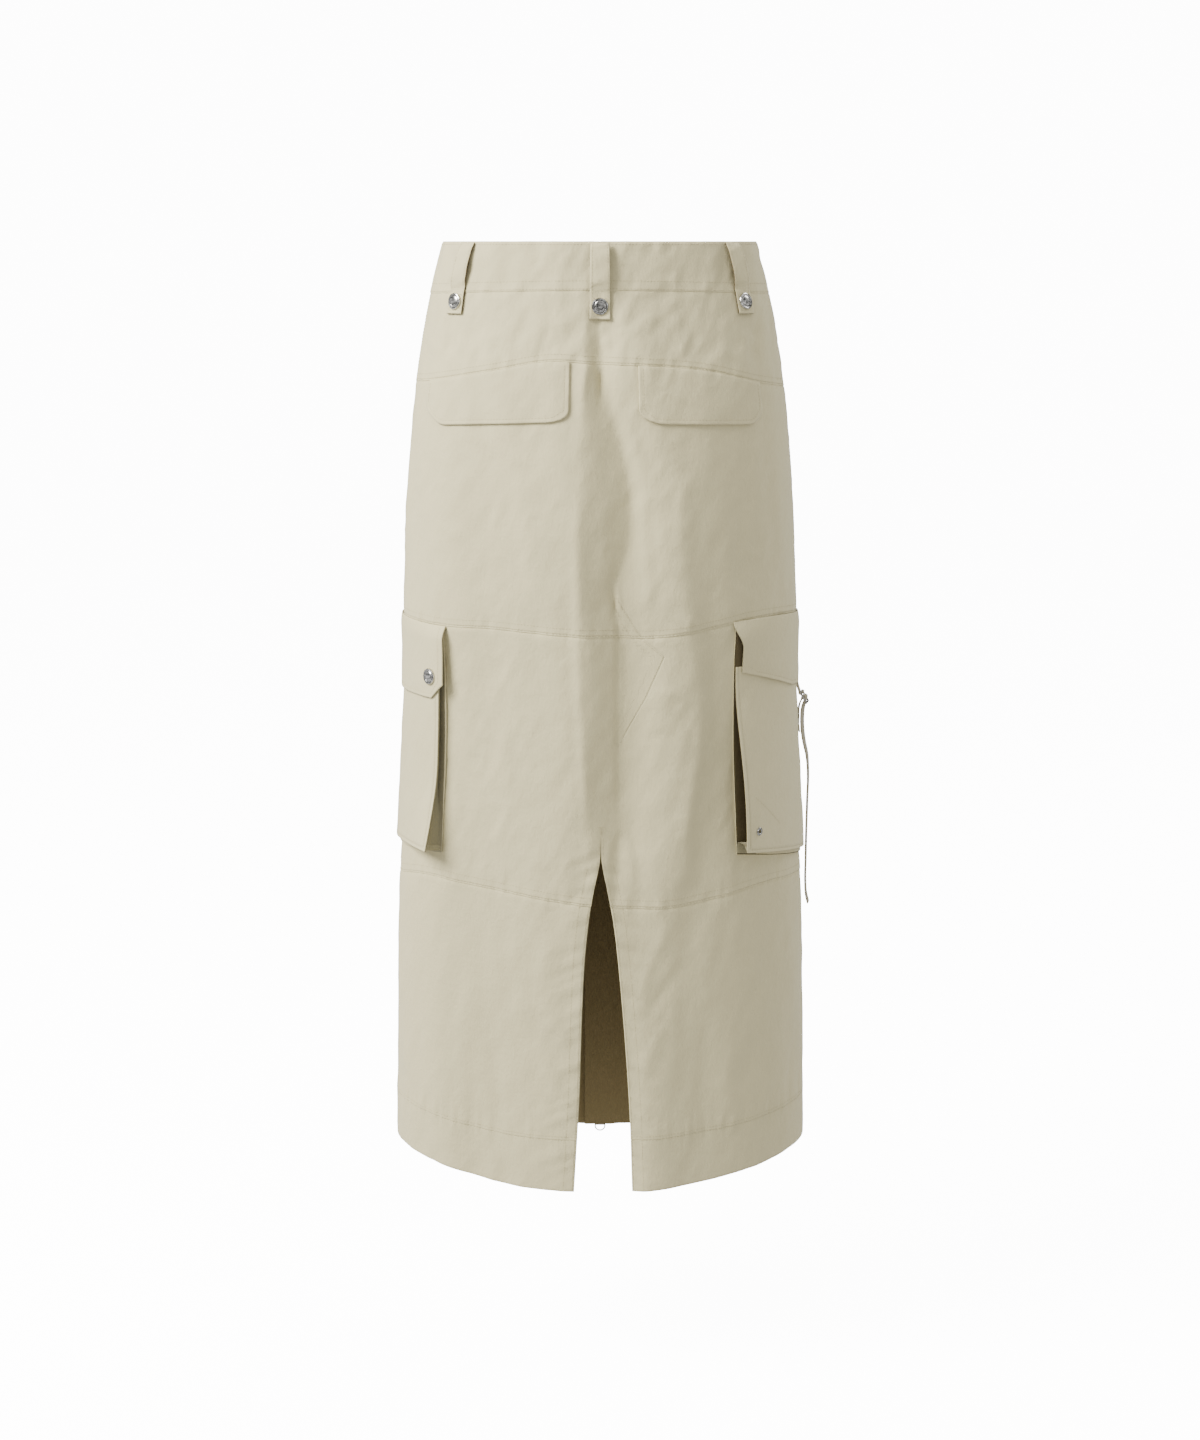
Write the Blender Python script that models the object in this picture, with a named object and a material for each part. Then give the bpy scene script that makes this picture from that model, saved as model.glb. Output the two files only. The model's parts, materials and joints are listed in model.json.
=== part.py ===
"""A cargo utility skirt, hollow as it is worn and held at the waist. Metres, +Z up.

The wearer faces +Y. A place on the skirt is an angle and a drop. The angle is 0 at the centre back,
90 at the +X side, -90 at the -X side and 180 at the centre front. The drop runs down from the
waist's top edge. A third number, out, moves a point off the skirt along its level normal.
"""

import math

import bmesh
import bpy
import numpy as np
from mathutils import Matrix, Vector

# Driving dimensions.
WAISTBAND_HEIGHT = 0.045
WAIST_TOP = WAISTBAND_HEIGHT / 2
CLOTH = 0.0012
GAP = 0.0003
SEAM_GAP = 0.0004
BAND_OUT, BAND_IN = 0.0005, -0.0014

SECTIONS = [
    # drop, half width, back depth, front depth
    (0.000, 0.1422, 0.0900, 0.0950),
    (0.045, 0.1548, 0.0962, 0.0980),
    (0.080, 0.1618, 0.1030, 0.1005),
    (0.120, 0.1683, 0.1120, 0.1030),
    (0.200, 0.1770, 0.1220, 0.1070),
    (0.300, 0.1829, 0.1240, 0.1080),
    (0.335, 0.1842, 0.1230, 0.1070),
    (0.370, 0.1823, 0.1219, 0.1058),
    (0.410, 0.1816, 0.1208, 0.1047),
    (0.450, 0.1822, 0.1197, 0.1037),
    (0.520, 0.1866, 0.1178, 0.1015),
    (0.600, 0.1924, 0.1150, 0.0980),
    (0.700, 0.1953, 0.1125, 0.0950),
    (0.800, 0.1980, 0.1105, 0.0920),
    (0.890, 0.1995, 0.1098, 0.0898),
]

# Each fold is a trough: its side of the skirt, how far it reaches left and right of its bottom,
# and rows of drop, place across the skirt (x) and depth.
FOLDS = [
    ("back", 0.038, 0.029, [
        (0.050, 0.000, 0.0000), (0.100, -0.006, 0.0055), (0.155, -0.007, 0.0085),
        (0.206, 0.001, 0.0095), (0.300, 0.013, 0.0095), (0.350, 0.019, 0.0095),
        (0.420, 0.020, 0.0095), (0.495, 0.015, 0.0090), (0.560, 0.026, 0.0070),
        (0.600, 0.032, 0.0035), (0.650, 0.036, 0.0000),
    ]),
    ("back", 0.026, 0.026, [
        (0.330, 0.108, 0.0000), (0.380, 0.104, 0.0025), (0.430, 0.096, 0.0030),
        (0.500, 0.100, 0.0030), (0.570, 0.091, 0.0030), (0.640, 0.080, 0.0022),
        (0.760, 0.070, 0.0000),
    ]),
    ("front", 0.032, 0.030, [
        (0.120, -0.095, 0.0000), (0.220, -0.088, 0.0035), (0.400, -0.072, 0.0040),
        (0.560, -0.066, 0.0030), (0.720, -0.060, 0.0000),
    ]),
    ("front", 0.030, 0.032, [
        (0.130, 0.100, 0.0000), (0.240, 0.092, 0.0035), (0.420, 0.078, 0.0040),
        (0.580, 0.070, 0.0030), (0.740, 0.064, 0.0000),
    ]),
]

# Seams, as rows of angle and drop.
YOKE_SEAM = [
    (-180, 0.1200), (-135, 0.1255), (-85, 0.1255), (-64, 0.1228), (-35, 0.1126), (-15, 0.1036),
    (0, 0.1058), (12, 0.1070), (32, 0.1115), (57, 0.1239), (80, 0.1295), (135, 0.1265), (180, 0.1200),
]
KNEE_SEAM = [
    (-180, 0.3500), (-130, 0.3430), (-84, 0.3398), (-49, 0.3422), (-33, 0.3416), (-15, 0.3442),
    (0, 0.3466), (12, 0.3482), (25, 0.3445), (47, 0.3356), (81, 0.3376), (130, 0.3430), (180, 0.3500),
]
LOWER_SEAM = [
    (-180, 0.6000), (-130, 0.5940), (-82, 0.5880), (-55, 0.5795), (-42, 0.5827), (-21, 0.5891),
    (-2, 0.5962), (23, 0.5984), (33, 0.5940), (51, 0.5866), (75, 0.5880), (130, 0.5940), (180, 0.6000),
]
WAIST_SEAM_CENTRE, WAIST_SEAM_SIDE = 0.0426, 0.0465
HEM_SIDE, HEM_BACK, HEM_FRONT = 0.8545, 0.8758, 0.8840

VENT = [
    # drop, left edge and right edge across the skirt (x)
    (0.528, 0.0009, 0.0009),
    (0.557, 0.0005, 0.0013),
    (0.596, -0.0073, 0.0073),
    (0.646, -0.0138, 0.0160),
    (0.700, -0.0166, 0.0210),
    (0.790, -0.0196, 0.0272),
    (0.876, -0.0244, 0.0301),
]
SLIT_TOP = VENT[0][0]
SLIT_ROW = 6

BACK_HALF_COLUMNS = 14
FRONT_COLUMNS = 9
BAND_COLUMNS = 18
SIDE_GAP_DEGREES = 0.12

# Zip at the centre front.
ZIP_EDGE = 0.0055
TAPE_EDGE, TAPE_BESIDE_SLIDER, TAPE_OUTER = 0.0033, 0.0050, 0.0150
TAPE_OUT, TAPE_IN = -0.0021, -0.0031
TAPE_TOP, TAPE_HEM, TAPE_STEP = 0.0006, 0.0010, 0.0020
TAPE_LAST_ROW, TAPE_ROWS = 0.8400, 12
CHAIN_HALF_WIDTH = 0.0030
GUARD_LEFT, GUARD_RIGHT = -0.0095, 0.0320
GUARD_OUT, GUARD_BEND, GUARD_SEWN = -0.0057, -0.0036, -0.0020
GUARD_TOP, GUARD_HEM, GUARD_ROWS = 0.0010, 0.0015, 16
CHAIN_OUT, CHAIN_IN = -0.0014, -0.0038
SLIDER_WIDTH, SLIDER_LENGTH = 0.0090, 0.0110
SLIDER_FACE, SLIDER_BACK = 0.0005, -0.0052
RING_RADIUS, RING_WIRE = 0.00495, 0.00065
RING_CLEARANCE = 0.00035
BAIL_WIDTH, BAIL_WALL, BAIL_SUNK = 0.0024, 0.0010, 0.0008
EYE_ABOVE_FACE = 0.00001
RING_LIFT = SLIDER_FACE + RING_CLEARANCE + RING_WIRE
RING_DROPS = {"top": 0.0050, "bottom": 0.8823}
SLIDER_DROPS = {"top": 0.0006, "bottom": 0.8735}

# Belt loops: a strip whose middle line runs down through these rows of drop and out.
LOOP_WIDTH, LOOP_THICKNESS = 0.0175, 0.0016
LOOP_LINE = [
    (0.0012, 0.0021), (0.0050, 0.0050), (0.0110, 0.0072), (0.0220, 0.0078),
    (0.0340, 0.0070), (0.0400, 0.0044), (0.0455, 0.0017), (0.0560, 0.0014), (0.0675, 0.0014),
]
LOOPS = {
    # name: angle, how much higher than the centre back loop it ends, share of its stand-off
    "back": (0.0, 0.0, 1.0),
    "left_back": (-54.5, 0.0040, 0.62),
    "right_back": (54.5, 0.0040, 0.62),
    "left_front": (-126.0, 0.0040, 0.62),
    "right_front": (126.0, 0.0040, 0.62),
}
SNAP_RADIUS, SNAP_HEIGHT = 0.0075, 0.0022
LOOP_CAP_DROP = 0.0560

# Welt flaps: rows of angle and the drop of the lower edge. The upper edge is the yoke seam.
FLAP_THICKNESS, FLAP_GAP = 0.0020, 0.0006
BACK_FLAPS = {
    "left": [
        (-64.8, 0.1440), (-62.2, 0.1515), (-57.0, 0.1590), (-53.0, 0.1612),
        (-13.4, 0.1556), (-10.1, 0.1520), (-9.1, 0.1440),
    ],
    "right": [
        (11.5, 0.1450), (14.9, 0.1553), (18.9, 0.1580), (50.1, 0.1606), (55.5, 0.1551), (57.2, 0.1480),
    ],
}

# Cargo pockets. The gusset stands on the skirt along the back and front angles and the bottom.
# Each stand-off row holds the share of the way down the face, and how far its outer side is from
# the skirt at the back edge, at the side and at the front edge.
POCKET_TOP = 0.3570
SIDE_FLAT = 12.0
POCKET_COLUMNS, POCKET_ROWS = 16, 6
FLAP_COLUMNS = 18
POCKET_FLAP_THICKNESS = 0.0014
GUSSET_FOOT_LOWER = 0.0060
GUSSET_SEAM = 0.0009
GUSSET_INSET_DEGREES = 0.9
FLAP_SEAM = 0.0004
TIP_LIFT_DEGREES = 14.0
FLAP_SHARES = (0.0, 0.1, 0.25, 0.5, 0.75, 1.0)
POCKETS = {
    "left": {
        "back": -49.3, "front": -127.0, "back_bottom": 0.5510, "front_bottom": 0.5560,
        "off": [
            (0.00, 0.0060, 0.0026, 0.0055), (0.25, 0.0085, 0.0042, 0.0075), (0.45, 0.0095, 0.0060, 0.0090),
            (0.70, 0.0110, 0.0062, 0.0105), (0.86, 0.0165, 0.0060, 0.0140), (1.00, 0.0225, 0.0054, 0.0180),
        ],
        "flap": [(-49.3, 0.3960), (-54.6, 0.4095), (-90.0, 0.4095), (-122.0, 0.4090), (-127.0, 0.3960)],
        "tip_lift": 0.0,
    },
    "right": {
        "back": 40.7, "front": 119.0, "back_bottom": 0.5490, "front_bottom": 0.5700,
        "off": [
            (0.00, 0.0055, 0.0026, 0.0055), (0.25, 0.0060, 0.0044, 0.0065), (0.45, 0.0085, 0.0059, 0.0080),
            (0.62, 0.0120, 0.0060, 0.0110), (0.82, 0.0170, 0.0057, 0.0150), (1.00, 0.0185, 0.0052, 0.0170),
        ],
        "flap": [(42.6, 0.3825), (52.0, 0.3890), (73.0, 0.4040), (90.0, 0.4075), (106.0, 0.4030),
                 (119.0, 0.3890)],
        "tip_lift": 0.0021,
    },
}
POCKET_SNAPS = {"back": (-55.4, 0.3895), "front": (-121.0, 0.3895)}
EYELET_PLACE = (47.0, 0.5307)
EYELET_PROFILE = [
    # radius, height
    (0.0019, 0.0), (0.0019, 0.0008), (0.0030, 0.0012), (0.0040, 0.0005), (0.0040, 0.0),
]

# Webbing and slider at the +X side, about the plane y = 0. The tab and the strap's root lie on the
# pocket's face: rows of drop and distance off it. The rest hangs free: rows of drop and x.
STRAP_WIDTH, STRAP_THICKNESS = 0.0116, 0.0012
BUCKLE_TOP = (0.4180, 0.1905)
BUCKLE_TILT = 31.0
BUCKLE_PITCH, BUCKLE_BAR, BUCKLE_RAIL = 0.0056, 0.0009, 0.0071
TAB_ON_FACE = [(0.3900, 0.0010), (0.3980, 0.0010), (0.4060, 0.0012), (0.4130, 0.0020)]
ROOT_ON_FACE = [(0.4560, 0.0010), (0.4440, 0.0010), (0.4350, 0.0014), (0.4285, 0.0030)]
STRAP_TAIL = [
    (0.4275, 0.1936), (0.4340, 0.1922), (0.4440, 0.1917), (0.4540, 0.1922), (0.4640, 0.1936),
    (0.4800, 0.1970), (0.4960, 0.1982), (0.5230, 0.1979), (0.5520, 0.1975), (0.5810, 0.1974),
    (0.6030, 0.1974), (0.6160, 0.1984), (0.6244, 0.2005),
]

PAINTS = {
    # name: base colour, roughness, metallic
    "cotton_twill": ((0.60, 0.56, 0.46), 0.85, 0.0),
    "flap_twill": ((0.57, 0.53, 0.43), 0.85, 0.0),
    "webbing": ((0.54, 0.50, 0.40), 0.80, 0.0),
    "zip_tape": ((0.50, 0.46, 0.36), 0.80, 0.0),
    "nickel": ((0.62, 0.61, 0.58), 0.25, 1.0),
}


def clear_scene():
    for obj in list(bpy.data.objects):
        bpy.data.objects.remove(obj, do_unlink=True)


def paint(name):
    """The named Principled material, made once."""
    found = bpy.data.materials.get(name)
    if found:
        return found
    colour, roughness, metallic = PAINTS[name]
    material = bpy.data.materials.new(name)
    material.use_nodes = True
    shader = material.node_tree.nodes["Principled BSDF"]
    shader.inputs["Base Color"].default_value = (*colour, 1.0)
    shader.inputs["Roughness"].default_value = roughness
    shader.inputs["Metallic"].default_value = metallic
    return material


def curve_through(rows, column):
    """A smooth curve through one column of a table whose first column is where each value lies."""
    at = np.array([row[0] for row in rows], float)
    values = np.array([row[column] for row in rows], float)
    slopes = np.gradient(values, at)

    def value(where):
        where = min(max(where, at[0]), at[-1])
        i = min(max(int(np.searchsorted(at, where)) - 1, 0), len(at) - 2)
        step = at[i + 1] - at[i]
        t = (where - at[i]) / step
        ease = t * t * (3 - 2 * t)
        pull = t * (1 - t) * step * ((1 - t) * slopes[i] - t * slopes[i + 1])
        return float(values[i] + (values[i + 1] - values[i]) * ease + pull)

    return value


def level(rows, column):
    """Straight runs between the rows of a table, for an outline with corners."""
    at = [row[0] for row in rows]
    values = [row[column] for row in rows]
    return lambda where: float(np.interp(where, at, values))


half_width, back_depth, front_depth = (curve_through(SECTIONS, column) for column in (1, 2, 3))
yoke_seam = curve_through(YOKE_SEAM, 1)
knee_seam = curve_through(KNEE_SEAM, 1)
lower_seam = curve_through(LOWER_SEAM, 1)
fold_lines = [
    (side, left, right, curve_through(rows, 1), curve_through(rows, 2))
    for side, left, right, rows in FOLDS
]
vent_left, vent_right = (curve_through(VENT, column) for column in (1, 2))


def waist_seam(angle):
    side = math.sin(math.radians(angle)) ** 2
    return WAIST_SEAM_CENTRE + (WAIST_SEAM_SIDE - WAIST_SEAM_CENTRE) * side


def hem(angle):
    middle = HEM_BACK if abs(angle) < 90 else HEM_FRONT
    return HEM_SIDE + (middle - HEM_SIDE) * math.cos(math.radians(angle)) ** 2


def relief(angle, drop, across):
    """How far the folds move the cloth: each is a trough with a rounded bottom and rounded rims."""
    here = "back" if abs(angle) <= 90 else "front"
    total = 0.0
    for side, left, right, line, depth in fold_lines:
        off = across - line(drop)
        reach = min(abs(off) / (left if off < 0 else right), 1.0)
        if side == here:
            total -= max(depth(drop), 0.0) * (1 - reach * reach * (3 - 2 * reach))
    return total


def place(angle, drop, out=0.0):
    """The point of the skirt's outer face at this angle and drop, moved out along the level normal."""
    turn = math.radians(angle)
    width = half_width(drop)
    depth = back_depth(drop) if abs(angle) <= 90 else front_depth(drop)
    across, along = math.sin(turn), -math.cos(turn)
    normal = Vector((across / width, along / depth, 0)).normalized()
    point = Vector((width * across, depth * along, WAIST_TOP - drop))
    return point + normal * (relief(angle, drop, width * across) + out)


def degrees_along(length, angle, drop):
    """The angle that this length takes up along the skirt's section."""
    turn = math.radians(angle)
    depth = back_depth(drop) if abs(angle) <= 90 else front_depth(drop)
    rate = math.hypot(half_width(drop) * math.cos(turn), depth * math.sin(turn))
    return math.degrees(length / rate)


def angle_of(across, drop):
    """The back angle at this distance across the skirt."""
    return math.degrees(math.asin(across / half_width(drop)))


def seat(surface, angle, drop, lift):
    """A frame on a surface: Z is its outward normal, Y points up the skirt."""
    step_angle, step_drop = 0.5, 0.001
    across = surface(angle + step_angle, drop) - surface(angle - step_angle, drop)
    up = surface(angle, drop - step_drop) - surface(angle, drop + step_drop)
    normal = across.cross(up).normalized()
    if normal.dot(Vector((math.sin(math.radians(angle)), -math.cos(math.radians(angle)), 0))) < 0:
        normal.negate()
    up = (up - normal * up.dot(normal)).normalized()
    side = up.cross(normal)
    turned = Matrix((side, up, normal)).transposed().to_4x4()
    return Matrix.Translation(surface(angle, drop) + normal * lift) @ turned


def finish(name, mesh, colour, smooth_angle=40.0):
    """An object of this mesh, its faces turned outwards."""
    bmesh.ops.recalc_face_normals(mesh, faces=mesh.faces)
    data = bpy.data.meshes.new(name)
    mesh.to_mesh(data)
    mesh.free()
    data.shade_smooth()
    data.set_sharp_from_angle(angle=math.radians(smooth_angle))
    data.materials.append(paint(colour))
    obj = bpy.data.objects.new(name, data)
    bpy.context.scene.collection.objects.link(obj)
    return obj


def cloth(name, columns, rows, point, colour, slit=None):
    """A closed thin solid from point(column, row, layer, side): layer 1 is the outer face.

    A slit (column, row) parts the cloth below that row: side is -1 left of it and 1 right of it.
    """
    mesh = bmesh.new()
    made = {}

    def corner(i, j, cell, layer):
        side = 0
        if slit and i == slit[0] and j > slit[1]:
            side = 1 if cell >= i else -1
        key = (i, j, side, layer)
        if key not in made:
            made[key] = mesh.verts.new(point(i, j, layer, side))
        return made[key]

    border = {}
    for i in range(columns):
        for j in range(rows):
            ring = [(i, j), (i + 1, j), (i + 1, j + 1), (i, j + 1)]
            over = [corner(a, b, i, 1) for a, b in ring]
            under = [corner(a, b, i, 0) for a, b in ring]
            mesh.faces.new(over)
            mesh.faces.new(under[::-1])
            for k in range(4):
                n = (k + 1) % 4
                border.setdefault(frozenset((over[k], over[n])), []).append(
                    (over[k], over[n], under[n], under[k])
                )
    for quads in border.values():
        if len(quads) == 1:
            mesh.faces.new(quads[0][::-1])
    return finish(name, mesh, colour)


def thick(name, grid, thickness, colour):
    """A closed sheet of this thickness about a grid of middle points."""
    points = np.array([[tuple(point) for point in row] for row in grid])
    along, across = np.gradient(points, axis=0), np.gradient(points, axis=1)
    normals = np.cross(along, across)
    normals /= np.linalg.norm(normals, axis=2, keepdims=True)

    def point(i, j, layer, side):
        return Vector(points[i, j] + normals[i, j] * thickness * (layer - 0.5))

    return cloth(name, len(points) - 1, len(points[0]) - 1, point, colour)


def turned(name, profile, where, colour, segments=16):
    """A turned solid from rows of radius and height, top to bottom, about the frame's Z axis."""
    mesh = bmesh.new()
    rings = []
    for radius, height in profile:
        turns = [2 * math.pi * k / segments for k in range(segments)]
        points = [Vector((radius * math.cos(t), radius * math.sin(t), height)) for t in turns]
        rings.append([mesh.verts.new(where @ point) for point in points])
    for upper, lower in zip(rings, rings[1:]):
        for k in range(segments):
            n = (k + 1) % segments
            mesh.faces.new((upper[k], upper[n], lower[n], lower[k]))
    mesh.faces.new(rings[0])
    mesh.faces.new(rings[-1][::-1])
    return finish(name, mesh, colour)


# Body panels.


def back_angle(k, drop, side):
    """The angle of column k from the centre back: closest there, and parted by the vent below."""
    spread = abs(k) / BACK_HALF_COLUMNS
    share = 0.45 * spread + 0.55 * spread**3
    turn = -1 if k < 0 or side < 0 else 1
    edge = angle_of(vent_left(drop) if turn < 0 else vent_right(drop), drop)
    return edge + (turn * (90 - SIDE_GAP_DEGREES) - edge) * share


def front_angle(turn, k, drop):
    """The angle of front column k, from the side to the zip's edge, on the side of this sign."""
    last = 180 - angle_of(ZIP_EDGE, drop)
    return turn * (90 + SIDE_GAP_DEGREES + (last - 90 - SIDE_GAP_DEGREES) * k / FRONT_COLUMNS)


def between(above, below, angle, share):
    """The drop at this share of the way between two seams, less the seams' gaps."""
    upper = above(angle) + SEAM_GAP / 2
    lower = below(angle) - SEAM_GAP / 2
    return upper + (lower - upper) * share


def panel(name, first, last, angle_at, shares, above, below, slit=None):
    """A body panel from column first to last, with a row at each share between its seams."""

    def point(i, j, layer, side):
        angle = angle_at(first + i, SLIT_TOP - GAP, side)
        drop = between(above, below, angle, shares[j])
        angle = angle_at(first + i, drop, side)
        drop = between(above, below, angle, shares[j])
        return place(angle, drop, (layer - 1) * CLOTH)

    return cloth(name, last - first, len(shares) - 1, point, "cotton_twill", slit)


def even(rows):
    return [j / rows for j in range(rows + 1)]


def shares_with_slit():
    """Rows of the back middle panel: one of them is the top of the slit."""
    start = between(knee_seam, lower_seam, 0.0, 0.0)
    end = between(knee_seam, lower_seam, 0.0, 1.0)
    top = (SLIT_TOP - start) / (end - start)
    return [top * j / SLIT_ROW for j in range(SLIT_ROW)] + [top + (1 - top) * j / 2 for j in range(3)]


def make_body():
    n = BACK_HALF_COLUMNS
    panel("back_yoke", -n, n, back_angle, even(3), waist_seam, yoke_seam)
    panel("back_upper", -n, n, back_angle, even(6), yoke_seam, knee_seam)
    slit = (n, SLIT_ROW)
    panel("back_middle", -n, n, back_angle, shares_with_slit(), knee_seam, lower_seam, slit)

    def left_of_vent(k, drop, side):
        return back_angle(k, drop, -1)

    panel("back_lower_left", -n, 0, left_of_vent, even(7), lower_seam, hem)
    panel("back_lower_right", 0, n, back_angle, even(7), lower_seam, hem)
    tiers = {
        "yoke": (waist_seam, yoke_seam, 2),
        "upper": (yoke_seam, knee_seam, 5),
        "middle": (knee_seam, lower_seam, 6),
        "lower": (lower_seam, hem, 6),
    }
    for hand, turn in (("left", -1), ("right", 1)):
        for tier, (above, below, rows) in tiers.items():

            def angle_at(k, drop, side, turn=turn):
                return front_angle(turn, k, drop)

            panel(f"front_{tier}_{hand}", 0, FRONT_COLUMNS, angle_at, even(rows), above, below)


def make_waistband():
    for hand, turn in (("left", -1), ("right", 1)):

        def point(i, j, layer, side, turn=turn):
            share = j / 2
            last = 180 - angle_of(ZIP_EDGE, 0.0)
            angle = turn * (SIDE_GAP_DEGREES + (last - SIDE_GAP_DEGREES) * i / BAND_COLUMNS)
            drop = waist_seam(angle) * share - SEAM_GAP / 2 * share
            return place(angle, drop, BAND_OUT if layer else BAND_IN)

        cloth(f"waistband_{hand}", BAND_COLUMNS, 2, point, "cotton_twill")


# Zip.


def front_point(across, drop, out):
    """A point near the centre front, at this distance across the skirt."""
    turn = 1 if across >= 0 else -1
    return place(turn * (180 - angle_of(abs(across), drop)), drop, out)


def make_zip():
    top_end = SLIDER_DROPS["top"] + SLIDER_LENGTH
    bottom_start = SLIDER_DROPS["bottom"]
    middle_drops = [float(d) for d in np.linspace(WAISTBAND_HEIGHT, TAPE_LAST_ROW, TAPE_ROWS)]
    drops = [TAPE_TOP, top_end, top_end + TAPE_STEP, *middle_drops]
    drops += [bottom_start - TAPE_STEP, bottom_start, HEM_FRONT - TAPE_HEM]

    def tape_edge(drop):
        beside = drop < top_end + TAPE_STEP / 2 or drop > bottom_start - TAPE_STEP / 2
        return TAPE_BESIDE_SLIDER if beside else TAPE_EDGE

    for hand, turn in (("left", -1), ("right", 1)):

        def point(i, j, layer, side, turn=turn):
            inner = tape_edge(drops[j])
            across = inner + (TAPE_OUTER - inner) * i / 2
            return front_point(turn * across, drops[j], TAPE_OUT if layer else TAPE_IN)

        cloth(f"zip_tape_{hand}", 2, len(drops) - 1, point, "zip_tape")

    chain = [top_end + GAP, *middle_drops, bottom_start - GAP]

    def chain_point(i, j, layer, side):
        return front_point(CHAIN_HALF_WIDTH * (i - 1), chain[j], CHAIN_OUT if layer else CHAIN_IN)

    cloth("zip_chain", 2, len(chain) - 1, chain_point, "nickel")
    make_zip_guard()


def make_zip_guard():
    """The strip of cloth behind the zip. It leaves the sliders room and then lies on the right panel."""
    drops = [float(d) for d in np.linspace(GUARD_TOP, HEM_FRONT - GUARD_HEM, GUARD_ROWS)]
    stations = [
        # across the skirt, out at the outer face
        (GUARD_LEFT, GUARD_OUT), (0.0, GUARD_OUT), (0.0100, GUARD_OUT),
        (0.0170, GUARD_BEND), (0.0230, GUARD_SEWN), (GUARD_RIGHT, GUARD_SEWN),
    ]

    def point(i, j, layer, side):
        across, out = stations[i]
        return front_point(across, drops[j], out - (0.0 if layer else CLOTH))

    cloth("zip_guard", len(stations) - 1, len(drops) - 1, point, "cotton_twill")


def box(name, size, where, helper=False):
    """A box of this size, centred on the frame, as a part or as a hidden cutter."""
    mesh = bmesh.new()
    bmesh.ops.create_cube(mesh, size=1.0, matrix=where @ Matrix.Diagonal((*size, 1.0)))
    obj = finish(name, mesh, "nickel")
    if helper:
        obj.hide_render = True
        obj.display_type = "WIRE"
    return obj


def combine(obj, operation, other):
    modifier = obj.modifiers.new(other.name, "BOOLEAN")
    modifier.operation = operation
    modifier.object = other


def make_slider(end):
    """A slider about the chain, with a bail that the ring hangs in, and its ring."""
    drop = SLIDER_DROPS[end] + SLIDER_LENGTH / 2
    front = seat(place, 180.0, drop, 0.0)
    up = SLIDER_DROPS[end] + SLIDER_LENGTH / 2 - RING_DROPS[end]
    height = SLIDER_FACE - SLIDER_BACK
    middle = Matrix.Translation((0, 0, (SLIDER_FACE + SLIDER_BACK) / 2))
    slider = box(f"zip_slider_{end}", (SLIDER_WIDTH, SLIDER_LENGTH, height), front @ middle)
    eye_height = 2 * (RING_WIRE + RING_CLEARANCE)
    bail_length = eye_height + 2 * BAIL_WALL
    bail_height = eye_height + BAIL_WALL
    bail_middle = Matrix.Translation((0, up, SLIDER_FACE + (bail_height - BAIL_SUNK) / 2))
    bail = box(f"bail_{end}", (BAIL_WIDTH, bail_length, bail_height + BAIL_SUNK), front @ bail_middle, True)
    eye_middle = Matrix.Translation((0, up, SLIDER_FACE + eye_height / 2 + EYE_ABOVE_FACE))
    eye = box(f"eye_{end}", (SLIDER_WIDTH * 2, eye_height, eye_height), front @ eye_middle, True)
    combine(slider, "UNION", bail)
    combine(slider, "DIFFERENCE", eye)
    pivot = bpy.data.objects.new(f"ring_pivot_{end}", None)
    pivot.matrix_world = front @ Matrix.Translation((0, up, RING_LIFT))
    bpy.context.scene.collection.objects.link(pivot)
    make_ring(f"ring_pull_{end}", pivot)


def make_ring(name, pivot):
    """A wire ring that hangs from its pivot: the pivot is the middle of the wire at the ring's top."""
    mesh = bmesh.new()
    around, section = 24, 8
    rings = []
    for k in range(around):
        turn = 2 * math.pi * k / around
        spoke = Vector((math.sin(turn), math.cos(turn), 0))
        points = []
        for m in range(section):
            roll = 2 * math.pi * m / section
            reach = RING_RADIUS + RING_WIRE * math.cos(roll)
            points.append(spoke * reach + Vector((0, -RING_RADIUS, RING_WIRE * math.sin(roll))))
        rings.append([mesh.verts.new(point) for point in points])
    for k in range(around):
        for m in range(section):
            one, two = rings[k], rings[(k + 1) % around]
            n = (m + 1) % section
            mesh.faces.new((one[m], one[n], two[n], two[m]))
    ring = finish(name, mesh, "nickel", 60.0)
    ring.parent = pivot


# Pieces that lie on the skirt.


def cap_profile(radius, height):
    """A snap cap: a flat foot, an upright rim and a low dome."""
    return [
        (radius * 0.45, height), (radius * 0.85, height * 0.80), (radius, height * 0.40), (radius, 0.0),
    ]


def make_loops():
    line = np.array(LOOP_LINE)
    slope = np.gradient(line, axis=0)
    slope /= np.linalg.norm(slope, axis=1, keepdims=True)
    sideways = np.stack([-slope[:, 1], slope[:, 0]], axis=1)
    for name, (angle, higher, bulge) in LOOPS.items():
        half = degrees_along(LOOP_WIDTH / 2, angle, 0.03)
        columns = 4

        def line_point(i, j, layer, side, angle=angle, half=half, higher=higher, bulge=bulge):
            off_line = sideways[j] * LOOP_THICKNESS * (layer - 0.5)
            drop = line[j][0] * (1 - higher / line[-1][0]) + off_line[0]
            out = line[-1][1] + (line[j][1] - line[-1][1]) * bulge + off_line[1]
            return place(angle + half * (2 * i / columns - 1), drop, out)

        cloth(f"loop_{name}", columns, len(line) - 1, line_point, "flap_twill")

        def over(at, drop):
            return place(at, drop, LOOP_LINE[-1][1] + LOOP_THICKNESS / 2)

        cap_drop = LOOP_CAP_DROP - higher * LOOP_CAP_DROP / LOOP_LINE[-1][0]
        where = seat(over, angle, cap_drop, GAP)
        turned(f"snap_{name}", cap_profile(SNAP_RADIUS, SNAP_HEIGHT), where, "nickel")


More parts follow.
